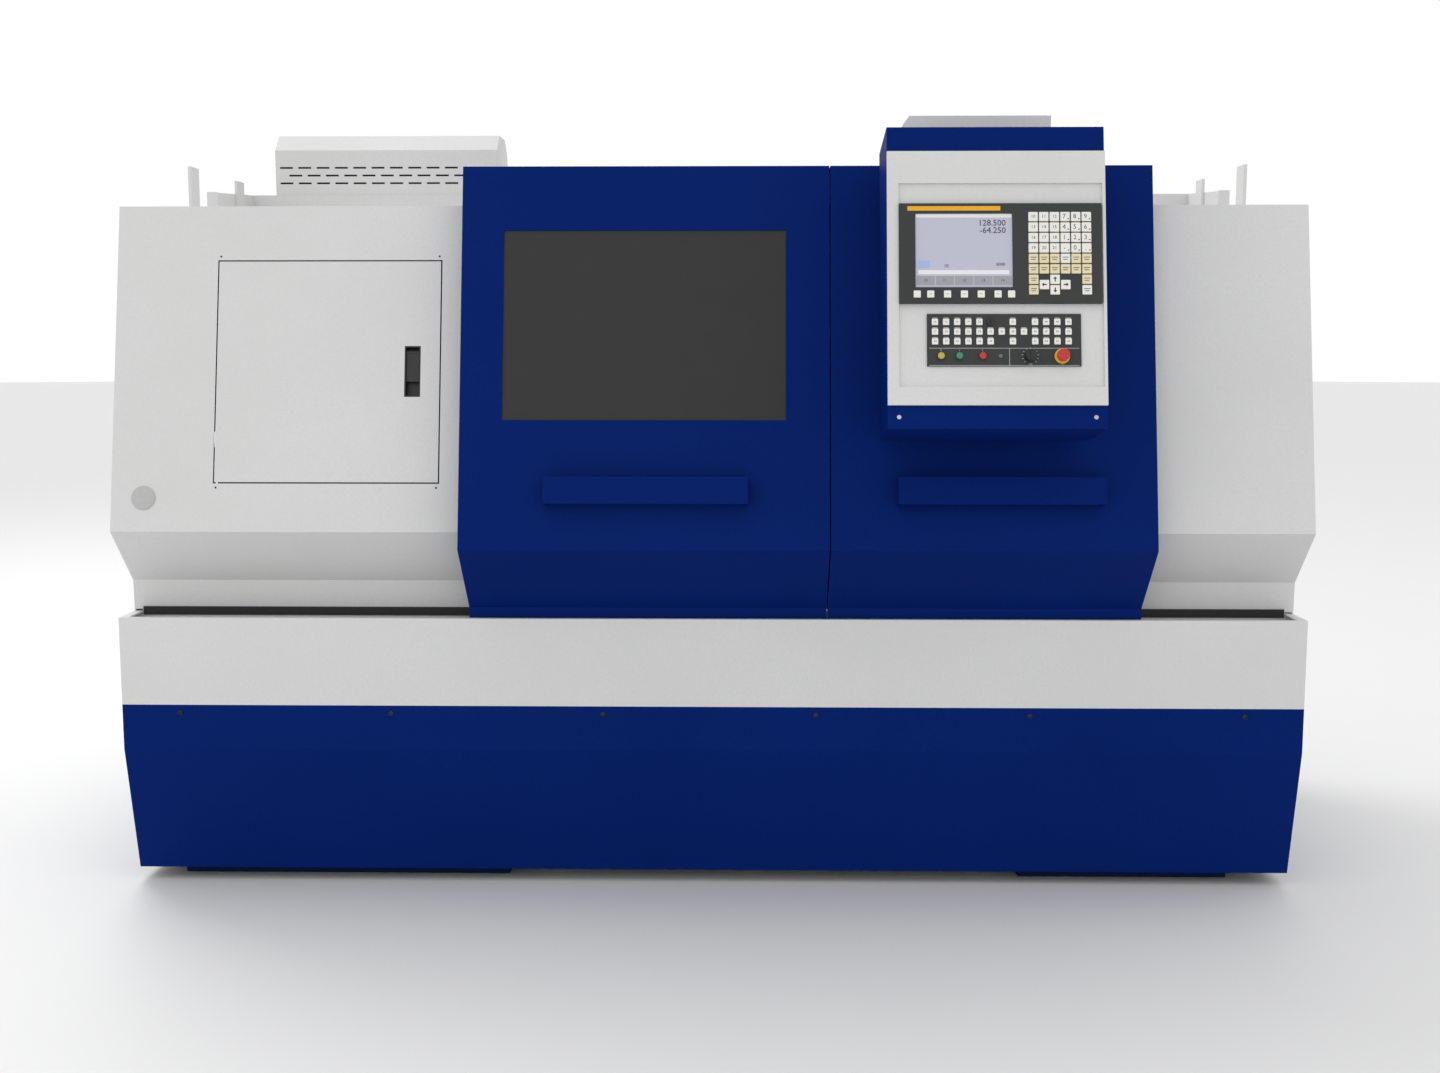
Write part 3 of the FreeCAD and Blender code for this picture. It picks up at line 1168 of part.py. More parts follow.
def chuck_jaw(index):
    """Stepped hard jaw in its slot."""
    half = JAW_WIDTH / 2
    low, high = (AXIS_Z + r for r in JAW_RADII)
    step = (JAW_RADII[1] - JAW_RADII[0]) / 3
    root = box((CHUCK_FACE - JAW_IN_BODY, CHUCK_FACE + JAW_OUT / 3), (-half, half), (low, high))
    middle = box((CHUCK_FACE, CHUCK_FACE + 2 * JAW_OUT / 3), (-half, half), (low, high - step))
    tip = box((CHUCK_FACE, CHUCK_FACE + JAW_OUT), (-half, half), (low, high - 2 * step))
    return turned(fuse([root, middle, tip]), 120 * index)


# ---------------------------------------------------------------- carriage
def z_screw():
    """Long feed screw with a journal at each end; its fine thread is left smooth."""
    screw = rod_x(Z_SCREW_X, Z_SCREW_Y, Z_SCREW_Z, Z_SCREW_R)
    left = rod_x((Z_SCREW_X[0] - 2 * Z_BRACKET, Z_SCREW_X[0] + 1), Z_SCREW_Y, Z_SCREW_Z, Z_JOURNAL_R)
    right = rod_x((Z_SCREW_X[1] - 1, Z_SCREW_X[1] + 2 * Z_BRACKET), Z_SCREW_Y, Z_SCREW_Z, Z_JOURNAL_R)
    return fuse([left, screw, right])


def z_motor():
    """Servo motor of the long feed, on its bracket beside the bed."""
    start = Z_SCREW_X[1] + SAFE_GAP
    half = Z_MOTOR_SIZE / 2
    z = (Z_SCREW_Z - half, Z_SCREW_Z + half)
    bracket_y = (Z_SCREW_Y - half, -BED_HALF_WIDTH + 10)
    bracket = box((start, start + Z_BRACKET), bracket_y, (z[0], WAY_TOP - WAY_THICKNESS))
    body_x = (start + Z_BRACKET, start + Z_BRACKET + Z_MOTOR_LENGTH)
    body = box(body_x, grown((Z_SCREW_Y, Z_SCREW_Y), half - 6), grown(z, -6))
    bore_x = (start - 1, Z_SCREW_X[1] + 2 * Z_BRACKET + 3)
    bore = rod_x(bore_x, Z_SCREW_Y, Z_SCREW_Z, Z_JOURNAL_R + RUN_GAP)
    return fuse([bracket, body]).cut(bore)


def screw_channel():
    """Room in the saddle for the cross screw and its nut."""
    half = 30.0
    y = (SADDLE_Y[0] + 20, SADDLE_Y[1] + 1)
    return box((SLIDE_MID_X - half, SLIDE_MID_X + half), y, (X_SCREW_Z - 30, SADDLE_TOP + 1))


def saddle():
    """Carriage casting: bridge over the slideways, cross rails on top and the apron in front."""
    plate = box(SADDLE_X, SADDLE_Y, (SADDLE_BOTTOM, SADDLE_TOP))
    apron = box(APRON_X, (SADDLE_Y[0], APRON_BACK), (APRON_BOTTOM, SADDLE_BOTTOM + 1))
    rails = []
    for x in (SLIDE_X[0], SLIDE_X[1] - CROSS_RAIL_WIDTH):
        rail_z = (SADDLE_TOP, SADDLE_TOP + CROSS_RAIL_HEIGHT)
        rails.append(box((x, x + CROSS_RAIL_WIDTH), SADDLE_Y, rail_z))
    body = fuse([plate, apron] + rails)
    body = body.cut(v_way(2 * RUN_GAP)).cut(screw_channel())
    nut_bore = rod_x(grown(APRON_X, 1), Z_SCREW_Y, Z_SCREW_Z, Z_SCREW_R + RUN_GAP)
    front_bore_y = (SADDLE_Y[0] - 1, SADDLE_Y[0] + 21)
    front_bore = rod_y(SLIDE_MID_X, front_bore_y, X_SCREW_Z, X_JOURNAL_R + RUN_GAP)
    return body.cut(nut_bore).cut(front_bore)


def x_screw():
    """Cross feed screw in the saddle's channel."""
    y = (SADDLE_Y[0] + 20 + SAFE_GAP, SADDLE_Y[1] - SAFE_GAP)
    screw = rod_y(SLIDE_MID_X, y, X_SCREW_Z, X_SCREW_R)
    journals = rod_y(SLIDE_MID_X, (SADDLE_Y[0], SADDLE_Y[1] + 35), X_SCREW_Z, X_JOURNAL_R)
    return fuse([journals, screw])


def x_motor():
    """Servo motor of the cross feed, on the back of the saddle."""
    half = X_MOTOR_SIZE / 2
    flange_y = (SADDLE_Y[1], SADDLE_Y[1] + 12)
    flange = box(grown((SLIDE_MID_X, SLIDE_MID_X), half), flange_y, (SADDLE_BOTTOM + 12, X_SCREW_Z + half))
    body_y = (SADDLE_Y[1] + 12, SADDLE_Y[1] + X_MOTOR_LENGTH)
    body_x = grown((SLIDE_MID_X, SLIDE_MID_X), half - 5)
    body = box(body_x, body_y, (X_SCREW_Z - half + 5, X_SCREW_Z + half - 5))
    bore = rod_y(SLIDE_MID_X, (SADDLE_Y[1] - 1, SADDLE_Y[1] + 40), X_SCREW_Z, X_JOURNAL_R + RUN_GAP)
    return fuse([flange, body]).cut(bore)


def cross_slide():
    """Slide table with the nut below it and the turret's round base on top."""
    table = box(SLIDE_X, SLIDE_Y, (SLIDE_BOTTOM, SLIDE_TOP))
    nut_x = (SLIDE_MID_X - 25, SLIDE_MID_X + 25)
    nut_y = (TURRET_Y - 30, TURRET_Y + 50)
    nut = box(nut_x, nut_y, (X_SCREW_Z - 25, SLIDE_BOTTOM + 1))
    base = rod_z(SLIDE_MID_X, TURRET_Y, (SLIDE_TOP - 1, SLIDE_TOP + TURRET_BASE_HEIGHT), TURRET_BASE_R)
    bore = rod_y(SLIDE_MID_X, grown(nut_y, 1), X_SCREW_Z, X_SCREW_R + RUN_GAP)
    return fuse([table, nut, base]).cut(bore)


def tool_slot(grow=0.0):
    """Space of the tool shank on the head's +X side, along Y."""
    half = TURRET_SIZE / 2
    x = (SLIDE_MID_X + half - TOOL_SHANK - grow, SLIDE_MID_X + half + grow)
    z = (AXIS_Z - TOOL_SHANK - grow, AXIS_Z + grow)
    start = TURRET_Y + half + TOOL_OVERHANG - TOOL_LENGTH
    return box(x, (start - 100 * grow, start + TOOL_LENGTH + 100 * grow), z)


def about_turret(shape, degrees):
    copy = shape.copy()
    copy.rotate(V(SLIDE_MID_X, TURRET_Y, 0), V(0, 0, 1), degrees)
    return copy


def turret_head():
    """Square four-station tool head."""
    half = TURRET_SIZE / 2
    x = (SLIDE_MID_X - half, SLIDE_MID_X + half)
    z = (TURRET_BOTTOM, TURRET_BOTTOM + TURRET_HEIGHT)
    head = box(x, (TURRET_Y - half, TURRET_Y + half), z)
    for i in range(4):
        head = head.cut(about_turret(tool_slot(1.0), 90 * i))
    return head


def cutting_tools():
    """Four turning tools lying on the floor of their slots."""
    tools = []
    for i in range(4):
        tool = tool_slot()
        tool.translate(V(-1.0, 0, -1.0))
        tools.append(about_turret(tool, 90 * i))
    return Part.makeCompound(tools)


# ---------------------------------------------------------------- tailstock
def tailstock_body():
    """Tailstock base and barrel casting, bored for the quill and its screw."""
    base_y = (-TAIL_BASE_HALF_WIDTH, TAIL_BASE_HALF_WIDTH)
    base_top = SADDLE_BOTTOM + TAIL_BASE_HEIGHT
    base = box(TAIL_BASE_X, base_y, (SADDLE_BOTTOM, base_top))
    column = box(grown(TAIL_BASE_X, -20), (-TAIL_BARREL_R, TAIL_BARREL_R), (base_top - 1, AXIS_Z))
    barrel = rod_x(TAIL_BARREL_X, 0, AXIS_Z, TAIL_BARREL_R)
    body = fuse([base, column, barrel]).cut(v_way(2 * RUN_GAP))
    quill_bore = rod_x((TAIL_BARREL_X[0] - 1, TAIL_BARREL_X[1] - TAIL_CAP), 0, AXIS_Z, QUILL_R + RUN_GAP)
    screw_bore_x = (TAIL_BARREL_X[1] - TAIL_CAP - 1, TAIL_BARREL_X[1] + 1)
    screw_bore = rod_x(screw_bore_x, 0, AXIS_Z, QUILL_SCREW_R + RUN_GAP)
    return body.cut(quill_bore).cut(screw_bore)


def quill():
    """Sliding quill with a socket for the centre and a nut bore for its screw."""
    body = rod_x(QUILL_X, 0, AXIS_Z, QUILL_R)
    socket = rod_x((QUILL_X[0] - 1, QUILL_X[0] + 90), 0, AXIS_Z, CENTRE_SHANK_R + RUN_GAP)
    nut_bore = rod_x((QUILL_SCREW_X[0] - 10, QUILL_X[1] + 1), 0, AXIS_Z, QUILL_SCREW_R + RUN_GAP)
    return body.cut(socket).cut(nut_bore)


def live_centre():
    """Revolving centre: 60 degree point, body and shank."""
    cone = CENTRE_BODY_R * 0.75 / math.tan(math.radians(30))
    point = Part.makeCone(0, CENTRE_BODY_R * 0.75, cone, V(CENTRE_TIP_X, 0, AXIS_Z), V(1, 0, 0))
    body = rod_x((CENTRE_TIP_X + cone, QUILL_X[0] - SAFE_GAP), 0, AXIS_Z, CENTRE_BODY_R)
    shank = rod_x((QUILL_X[0] - 1, QUILL_X[0] + 80), 0, AXIS_Z, CENTRE_SHANK_R)
    return fuse([point, body, shank])


def tailstock_handwheel():
    """Handwheel with spokes and crank handle, in one piece with the quill screw."""
    hub_x = (TAIL_BARREL_X[1] + SAFE_GAP, QUILL_SCREW_X[1] + 5)
    middle = (hub_x[0] + hub_x[1]) / 2
    screw = rod_x((QUILL_SCREW_X[0], hub_x[1]), 0, AXIS_Z, QUILL_SCREW_R)
    hub = rod_x(hub_x, 0, AXIS_Z, 2 * QUILL_SCREW_R)
    rim = Part.makeTorus(HANDWHEEL_R, HANDWHEEL_RIM_R, V(middle, 0, AXIS_Z), V(1, 0, 0))
    parts = [screw, hub, rim]
    for i in range(3):
        spoke = Part.makeCylinder(8.0, HANDWHEEL_R, V(middle, 0, AXIS_Z), V(0, 0, 1))
        parts.append(turned(spoke, 120 * i))
    grip = rod_x((middle, middle + 70), HANDWHEEL_R, AXIS_Z, 9.0)
    parts.append(grip)
    return fuse(parts)


# ---------------------------------------------------------------- coolant
def coolant_tank():
    """Open-topped tank on four feet with its pump standing on the lidded end."""
    z = (TANK_FOOT, TANK_TOP)
    tank = box(TANK_X, TANK_Y, z)
    lid_from = TANK_X[1] - 300
    well = box((TANK_X[0] + SHEET, lid_from), grown(TANK_Y, -SHEET), (z[0] + SHEET, z[1] + 1))
    parts = [tank.cut(well)]
    for x in (TANK_X[0] + 30, TANK_X[1] - 90):
        for y in (TANK_Y[0] + 30, TANK_Y[1] - 90):
            parts.append(box((x, x + 60), (y, y + 60), (0, TANK_FOOT + 1)))
    parts.append(rod_z(TANK_X[1] - 150, TANK_Y[1] - 120, (z[1] - 1, z[1] + 170), PUMP_R))
    return fuse(parts)


# ---------------------------------------------------------------- all nodes
def build():
    """Every node of the machine by name."""
    return {
        "headstock_pedestal": headstock_pedestal(),
        "tailstock_pedestal": pedestal(TAIL_PEDESTAL_X),
        "lathe_bed": lathe_bed(),
        "oil_pan": oil_pan(),
        "front_kick_panel": front_kick_panel(),
        "side_kick_panels": side_kick_panels(),
        "left_cover": left_cover(),
        "right_cover": right_cover(),
        "rear_cover": rear_cover(),
        "corner_posts": corner_posts(),
        "door_upper_rail": door_upper_rail(),
        "left_door_panel": left_door_panel(),
        "left_door_window": left_door_window(),
        "left_door_handle": door_handle(LEFT_HANDLE_X),
        "left_door_glides": door_glides(LEFT_DOOR_X),
        "right_door_panel": door_shell(RIGHT_DOOR_X),
        "right_door_handle": door_handle(RIGHT_HANDLE_X),
        "right_door_glides": door_glides(RIGHT_DOOR_X),
        "console_box": console_box(),
        "console_front_panel": console_front_panel(),
        "console_duct": console_duct(),
        "screen_unit": screen_unit(),
        "console_keys": console_keys(),
        "operator_panel": operator_panel(),
        "yellow_button": push_button(YELLOW_BUTTON_X),
        "green_button": push_button(GREEN_BUTTON_X),
        "red_button": push_button(RED_BUTTON_X),
        "key_switch": key_switch(),
        "override_knob": override_knob(),
        "estop_head": estop_head(),
        "access_door": access_door(),
        "latch_housing": latch_housing(),
        "latch_paddle": latch_paddle(),
        "electric_cabinet": electric_cabinet(),
        "cabinet_hood": cabinet_hood(),
        "cabinet_door": cabinet_door(),
        "cabinet_lock": cabinet_lock(),
        "headstock": headstock(),
        "spindle": spindle(),
        "spindle_bearings": spindle_bearings(),
        "main_motor": main_motor(),
        "motor_pulley": motor_pulley(),
        "drive_belt": drive_belt(),
        "chuck_body": chuck_body(),
        "chuck_jaw_1": chuck_jaw(0),
        "chuck_jaw_2": chuck_jaw(1),
        "chuck_jaw_3": chuck_jaw(2),
        "z_screw": z_screw(),
        "z_motor": z_motor(),
        "saddle": saddle(),
        "cross_slide": cross_slide(),
        "x_screw": x_screw(),
        "x_motor": x_motor(),
        "turret_head": turret_head(),
        "cutting_tools": cutting_tools(),
        "tailstock_body": tailstock_body(),
        "quill": quill(),
        "live_centre": live_centre(),
        "tailstock_handwheel": tailstock_handwheel(),
        "coolant_tank": coolant_tank(),
    }


def main():
    os.makedirs("parts", exist_ok=True)
    whole = FreeCAD.BoundBox()
    for name, shape in build().items():
        if not shape.isValid():
            print("not valid:", name)
        whole.add(shape.BoundBox)
        shape.exportStep(f"parts/{name}.step")
    print("x %.2f %.2f  y %.2f %.2f  z %.2f %.2f" % (
        whole.XMin, whole.XMax, whole.YMin, whole.YMax, whole.ZMin, whole.ZMax))


main()
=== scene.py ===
# %% [markdown]
# # A flat-bed CNC turning lathe
# The machine's steel and iron come from a CAD model, which this script loads as a fixed frame.
# This lesson adds what CAD leaves out: paint, glass, screws, dark strips of painted shade, keys, a lit
# display, screw threads, and then a floor, a camera and soft lamps. Everything is in metres. X runs along the
# spindle, the operator stands at -Y, and Z is up from the floor.

# %% Load the frame
import json
import math

import bmesh
import bpy
from mathutils import Matrix, Vector

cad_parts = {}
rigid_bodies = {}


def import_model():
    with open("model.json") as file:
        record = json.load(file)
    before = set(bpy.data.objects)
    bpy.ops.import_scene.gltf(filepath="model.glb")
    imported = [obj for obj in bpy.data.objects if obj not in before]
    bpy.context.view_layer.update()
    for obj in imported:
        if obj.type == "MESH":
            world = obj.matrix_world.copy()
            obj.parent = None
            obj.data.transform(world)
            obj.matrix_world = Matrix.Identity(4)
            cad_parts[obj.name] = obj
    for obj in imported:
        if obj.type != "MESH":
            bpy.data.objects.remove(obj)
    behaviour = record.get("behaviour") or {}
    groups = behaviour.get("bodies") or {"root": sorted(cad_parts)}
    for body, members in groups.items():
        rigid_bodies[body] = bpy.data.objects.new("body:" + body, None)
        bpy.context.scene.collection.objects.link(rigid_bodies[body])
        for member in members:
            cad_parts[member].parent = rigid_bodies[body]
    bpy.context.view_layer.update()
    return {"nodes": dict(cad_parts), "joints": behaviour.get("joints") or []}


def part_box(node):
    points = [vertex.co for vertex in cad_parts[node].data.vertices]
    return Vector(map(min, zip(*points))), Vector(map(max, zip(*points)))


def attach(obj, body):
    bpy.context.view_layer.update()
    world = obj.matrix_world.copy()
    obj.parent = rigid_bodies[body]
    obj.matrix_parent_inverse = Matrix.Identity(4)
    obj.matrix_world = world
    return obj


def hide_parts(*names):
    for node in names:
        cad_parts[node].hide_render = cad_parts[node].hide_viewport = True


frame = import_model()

scene = bpy.context.scene
MM = 0.001

# %% [markdown]
# ## Camera
# The machine is seen from the operator's side, from about head height and four metres away, turned a
# degree to the left and looking seven degrees down. The lens is a little longer than a normal one, which
# keeps the upright edges of such a wide machine nearly parallel.

# %% Camera
camera_data = bpy.data.cameras.new("operator_view")
camera_data.lens = 39.44
camera_data.sensor_width = 36.0
camera = bpy.data.objects.new("operator_view", camera_data)
LOOKS_DOWN = 0.1181  # radians
TURNS_LEFT = 0.0180
camera.location = (0.08486, -3.89136, 1.20289)
camera.rotation_euler = (math.pi / 2 - LOOKS_DOWN, 0.0, TURNS_LEFT)
scene.collection.objects.link(camera)
scene.camera = camera
print("camera lens", camera_data.lens, "mm")

# %% [markdown]
# ## Colours and nodes
# Colours are written as sRGB hex values, as a paint chart gives them, and one function turns them into
# the linear numbers that the renderer works with. A second small function adds a shader node, sets its
# values and makes its links, so each material reads as a short list.


# %% Colour and node helpers
def linear(hex_colour):
    """An sRGB hex colour as linear red, green, blue and alpha."""
    parts = [int(hex_colour[i : i + 2], 16) / 255 for i in (1, 3, 5)]
    return (*[c / 12.92 if c <= 0.04045 else ((c + 0.055) / 1.055) ** 2.4 for c in parts], 1.0)


def add(tree, kind, inputs=None, **settings):
    """Adds a node; each input is a plain value or another node's output."""
    node = tree.nodes.new(kind)
    for name, value in settings.items():
        setattr(node, name, value)
    for name, value in (inputs or {}).items():
        if isinstance(value, bpy.types.NodeSocket):
            tree.links.new(value, node.inputs[name])
        else:
            node.inputs[name].default_value = value
    return node


print("white paint is", [round(c, 3) for c in linear("#D4D4D4")])

# %% [markdown]
# ## Floor and light
# The machine stands on a plain pale studio floor under an even white surround, shown with the standard
# view transform so that white stays white and the deep blue paint keeps its strength. A wide soft lamp high
# behind the left end throws a soft shadow to the front and right, and a weak one in front lifts the panels.

# %% Floor and light
FLOOR_RADIUS = 60
FLOOR_SIDES = 64
FLOOR_DROP = 0.0005  # keeps the floor from lying in the plane of the machine's feet
floor_mesh = bpy.data.meshes.new("studio_floor")
turns = [i * math.tau / FLOOR_SIDES for i in range(FLOOR_SIDES)]
rim = [(FLOOR_RADIUS * math.cos(a), FLOOR_RADIUS * math.sin(a), -FLOOR_DROP) for a in turns]
floor_mesh.from_pydata(rim, [], [tuple(range(FLOOR_SIDES))])
floor = bpy.data.objects.new("studio_floor", floor_mesh)
scene.collection.objects.link(floor)

floor_paint = bpy.data.materials.new("pale_floor")
floor_paint.use_nodes = True
shader = floor_paint.node_tree.nodes["Principled BSDF"]
shader.inputs["Roughness"].default_value = 0.6
shader.inputs["Base Color"].default_value = linear("#E4E4E4")
floor_mesh.materials.append(floor_paint)

world = bpy.data.worlds.new("white_surround")
world.use_nodes = True
world.node_tree.nodes["Background"].inputs["Color"].default_value = (1.0, 1.0, 1.0, 1.0)
world.node_tree.nodes["Background"].inputs["Strength"].default_value = 1.0
scene.world = world
scene.view_settings.view_transform = "Standard"


def soft_lamp(name, place, target, size, watts):
    """A square lamp that shines from place towards target."""
    data = bpy.data.lights.new(name, "AREA")
    data.size = size
    data.energy = watts
    lamp = bpy.data.objects.new(name, data)
    lamp.location = place
    lamp.rotation_euler = (Vector(target) - Vector(place)).to_track_quat("-Z", "Y").to_euler()
    scene.collection.objects.link(lamp)


soft_lamp("key_lamp", (-3.5, 3.0, 6.5), (0.2, -0.3, 0.4), 3.5, 190)
soft_lamp("front_lamp", (-1.5, -6.5, 3.5), (0, 0, 0.9), 4.0, 18)

# %% [markdown]
# ## Finishes
# Nearly everything on a machine tool is one of a few surfaces: powder coat on folded sheet, rough painted
# castings, ground steel, moulded plastic. Each is made from the same three ideas: a colour that drifts a
# little between two near values, a gloss that drifts too, and a fine relief. What differs is the size of
# the grain in millimetres and its direction. A flat colour would look like a toy.


# %% A function that makes a finish
def make_finish(name, low, high, gloss, grain_mm, relief_mm, stretch=(1, 1, 1), drift_mm=400, **constants):
    """A surface whose colour and gloss drift a little, with a fine relief.

    gloss is the lowest and highest roughness, grain_mm the size of the grain, and stretch lengthens the
    grain along an axis. drift_mm is the distance over which the colour wanders from low to high.
    """
    material = bpy.data.materials.new(name)
    material.use_nodes = True
    tree = material.node_tree
    shader = tree.nodes["Principled BSDF"]
    for socket, value in constants.items():
        shader.inputs[socket.replace("_", " ")].default_value = value
    place = add(tree, "ShaderNodeTexCoord").outputs["Object"]
    turned = add(tree, "ShaderNodeMapping", {"Vector": place, "Scale": [1 / s for s in stretch]})
    drift = add(tree, "ShaderNodeTexNoise", {"Vector": place, "Scale": 1000 / drift_mm, "Detail": 3.0})
    fine = {"Vector": turned.outputs[0], "Scale": 1000 / grain_mm, "Detail": 2.0}
    grain = add(tree, "ShaderNodeTexNoise", fine)
    mixed = {0: drift.outputs["Fac"], 1: grain.outputs["Fac"], 2: 0.25}
    share = add(tree, "ShaderNodeMath", mixed, operation="MULTIPLY_ADD")
    tone = add(tree, "ShaderNodeMapRange", {"Value": share.outputs[0], "From Min": 0.35, "From Max": 0.65})
    blend = {"Factor": tone.outputs[0], 6: linear(low), 7: linear(high)}
    colour = add(tree, "ShaderNodeMix", blend, data_type="RGBA")
    tree.links.new(colour.outputs[2], shader.inputs["Base Color"])
    spread = {"Value": grain.outputs["Fac"], "From Min": 0.3, "From Max": 0.7}
    spread.update({"To Min": gloss[0], "To Max": gloss[1]})
    shine = add(tree, "ShaderNodeMapRange", spread)
    tree.links.new(shine.outputs[0], shader.inputs["Roughness"])
    relief = {"Height": grain.outputs["Fac"], "Distance": relief_mm * MM, "Strength": 1.0}
    bump = add(tree, "ShaderNodeBump", relief)
    tree.links.new(bump.outputs[0], shader.inputs["Normal"])
    return material


print("a finish has a low and a high colour, a gloss range, a grain and a relief")

# %% [markdown]
# ### Sheet and castings
# Powder coat is polyester baked on steel: it has a fine orange-peel skin, really about 1 mm across, drawn
# here at 5 mm so that it shows. Castings are grey iron, painted over a sand-rough skin.

# %% Paints
white_coat = make_finish(
    "white_powder_coat", "#D2D2D1", "#D8D8D8", (0.5, 0.6), 5, 0.02, IOR=1.5, Specular_IOR_Level=0.1
)
blue_coat = make_finish(
    "blue_powder_coat", "#011F64", "#03226B", (0.5, 0.6), 5, 0.02, IOR=1.5, Specular_IOR_Level=0.04
)
foot_coat = make_finish(
    "dark_blue_enamel", "#0A1A42", "#0B1F4C", (0.5, 0.65), 7, 0.05, IOR=1.5, Specular_IOR_Level=0.1
)
grey_coat = make_finish("grey_powder_coat", "#A9ACAE", "#B4B7B9", (0.42, 0.55), 5, 0.03, IOR=1.5)
casting_paint = make_finish("painted_casting", "#5E6365", "#6B7072", (0.5, 0.68), 9, 0.25, IOR=1.5)
motor_enamel = make_finish("black_motor_enamel", "#151517", "#1E1E20", (0.35, 0.5), 6, 0.1, IOR=1.5)
print("paints ready")

# %% [markdown]
# ### Metals
# Ground and turned steel has fine scratches that run one way, so its grain is stretched along the cut.
# The tools are hardened steel with an oxide skin, which is nearly black and soaks up oil.

# %% Metals
ground_steel = make_finish(
    "ground_steel", "#9A9B9D", "#B9BABC", (0.22, 0.38), 1.5, 0.02, stretch=(1, 30, 1), Metallic=1.0
)
turned_steel = make_finish(
    "turned_steel", "#A2A3A5", "#C2C3C5", (0.2, 0.36), 1.5, 0.02, stretch=(1, 25, 25), Metallic=1.0
)
oxide_steel = make_finish("black_oxide_steel", "#2A2B2D", "#3A3B3D", (0.35, 0.5), 3, 0.02, Metallic=0.8)
zinc_plate = make_finish("zinc_plate", "#B4B8BC", "#C9CDD0", (0.25, 0.4), 3, 0.02, Metallic=1.0)
print("metals ready")

# %% [markdown]
# ### Plastics, rubber and glass
# The display unit is moulded in charcoal ABS with a spark-eroded grain of about half a millimetre. The
# door pane is laminated safety sheet, dark because the inside of the machine is unlit: a smooth dark
# surface with a clear glossy top shows that better than real transparency.

# %% Plastics
charcoal_abs = make_finish(
    "charcoal_abs", "#3B3D3D", "#434545", (0.5, 0.65), 1.5, 0.04, IOR=1.46, Specular_IOR_Level=0.15
)
black_nylon = make_finish("black_nylon", "#141415", "#1C1C1E", (0.4, 0.55), 1.5, 0.05, IOR=1.53)
white_key_film = make_finish("white_key_film", "#E4E3DC", "#EFEEE8", (0.4, 0.5), 2, 0.01, IOR=1.5)
beige_key_film = make_finish("beige_key_film", "#DDD0A8", "#E8DDBE", (0.4, 0.5), 2, 0.01, IOR=1.5)
belt_rubber = make_finish("belt_rubber", "#101010", "#191919", (0.6, 0.8), 2, 0.1, IOR=1.5)
# rubber for the door glides; the same dark colour paints the gutter's shade along the cover foot
rubber_and_painted_shade = make_finish("rubber_and_painted_shade", "#17181A", "#202123", (0.5, 0.7), 3, 0.05, IOR=1.5)
red_cap = make_finish("red_polycarbonate", "#B01811", "#C8221A", (0.22, 0.32), 6, 0.01, IOR=1.58)
yellow_cap = make_finish("yellow_polycarbonate", "#A79A30", "#B9AC3C", (0.25, 0.35), 6, 0.01, IOR=1.58)
green_cap = make_finish("green_polycarbonate", "#1F7A56", "#2A8A64", (0.25, 0.35), 6, 0.01, IOR=1.58)
signal_yellow = make_finish("signal_yellow_label", "#E3A400", "#EDB30C", (0.35, 0.45), 4, 0.01, IOR=1.5)
print_ink = make_finish("dark_print_ink", "#2B2B2B", "#353535", (0.5, 0.6), 3, 0.005, IOR=1.5)
pale_ink = make_finish("pale_print_ink", "#B9BCBB", "#C6C9C8", (0.5, 0.6), 3, 0.005, IOR=1.5)
dark_pane = make_finish(
    "dark_safety_pane", "#363636", "#383838", (0.16, 0.2), 60, 0.01, IOR=1.58, Specular_IOR_Level=0.08
)
# near-black sheet behind the hood's slots: painted shade
slot_shade_sheet = make_finish("painted_slot_shade", "#161616", "#242424", (0.8, 0.95), 3, 0.5, IOR=1.5)
plug_grey = make_finish("grey_polyethylene", "#B2B2B1", "#BABAB9", (0.5, 0.65), 4, 0.02, IOR=1.51)
lit_display = make_finish("lit_display", "#B9BBCD", "#BDBFD0", (0.3, 0.35), 3, 0.0, IOR=1.5)
lit_white = make_finish("lit_display_white", "#E4E4E6", "#E8E8EA", (0.3, 0.35), 3, 0.0, IOR=1.5)
lit_blue = make_finish("lit_display_blue", "#9FB2DA", "#A5B8DE", (0.3, 0.35), 3, 0.0, IOR=1.5)
lit_grey = make_finish("lit_display_grey", "#9A9BA2", "#A0A1A8", (0.3, 0.35), 3, 0.0, IOR=1.5)
lit_ink = make_finish("lit_display_ink", "#2C2D38", "#30313C", (0.3, 0.35), 3, 0.0, IOR=1.5)
lamp_green = make_finish("green_lamp_lens", "#3E6B52", "#46755B", (0.2, 0.3), 3, 0.0, IOR=1.58)
print("plastics ready")

# %% [markdown]
# ## Paint the CAD pieces
# A CAD piece whose shape is right stays and only gets a finish. The table pairs each piece with what the
# real one is made of.

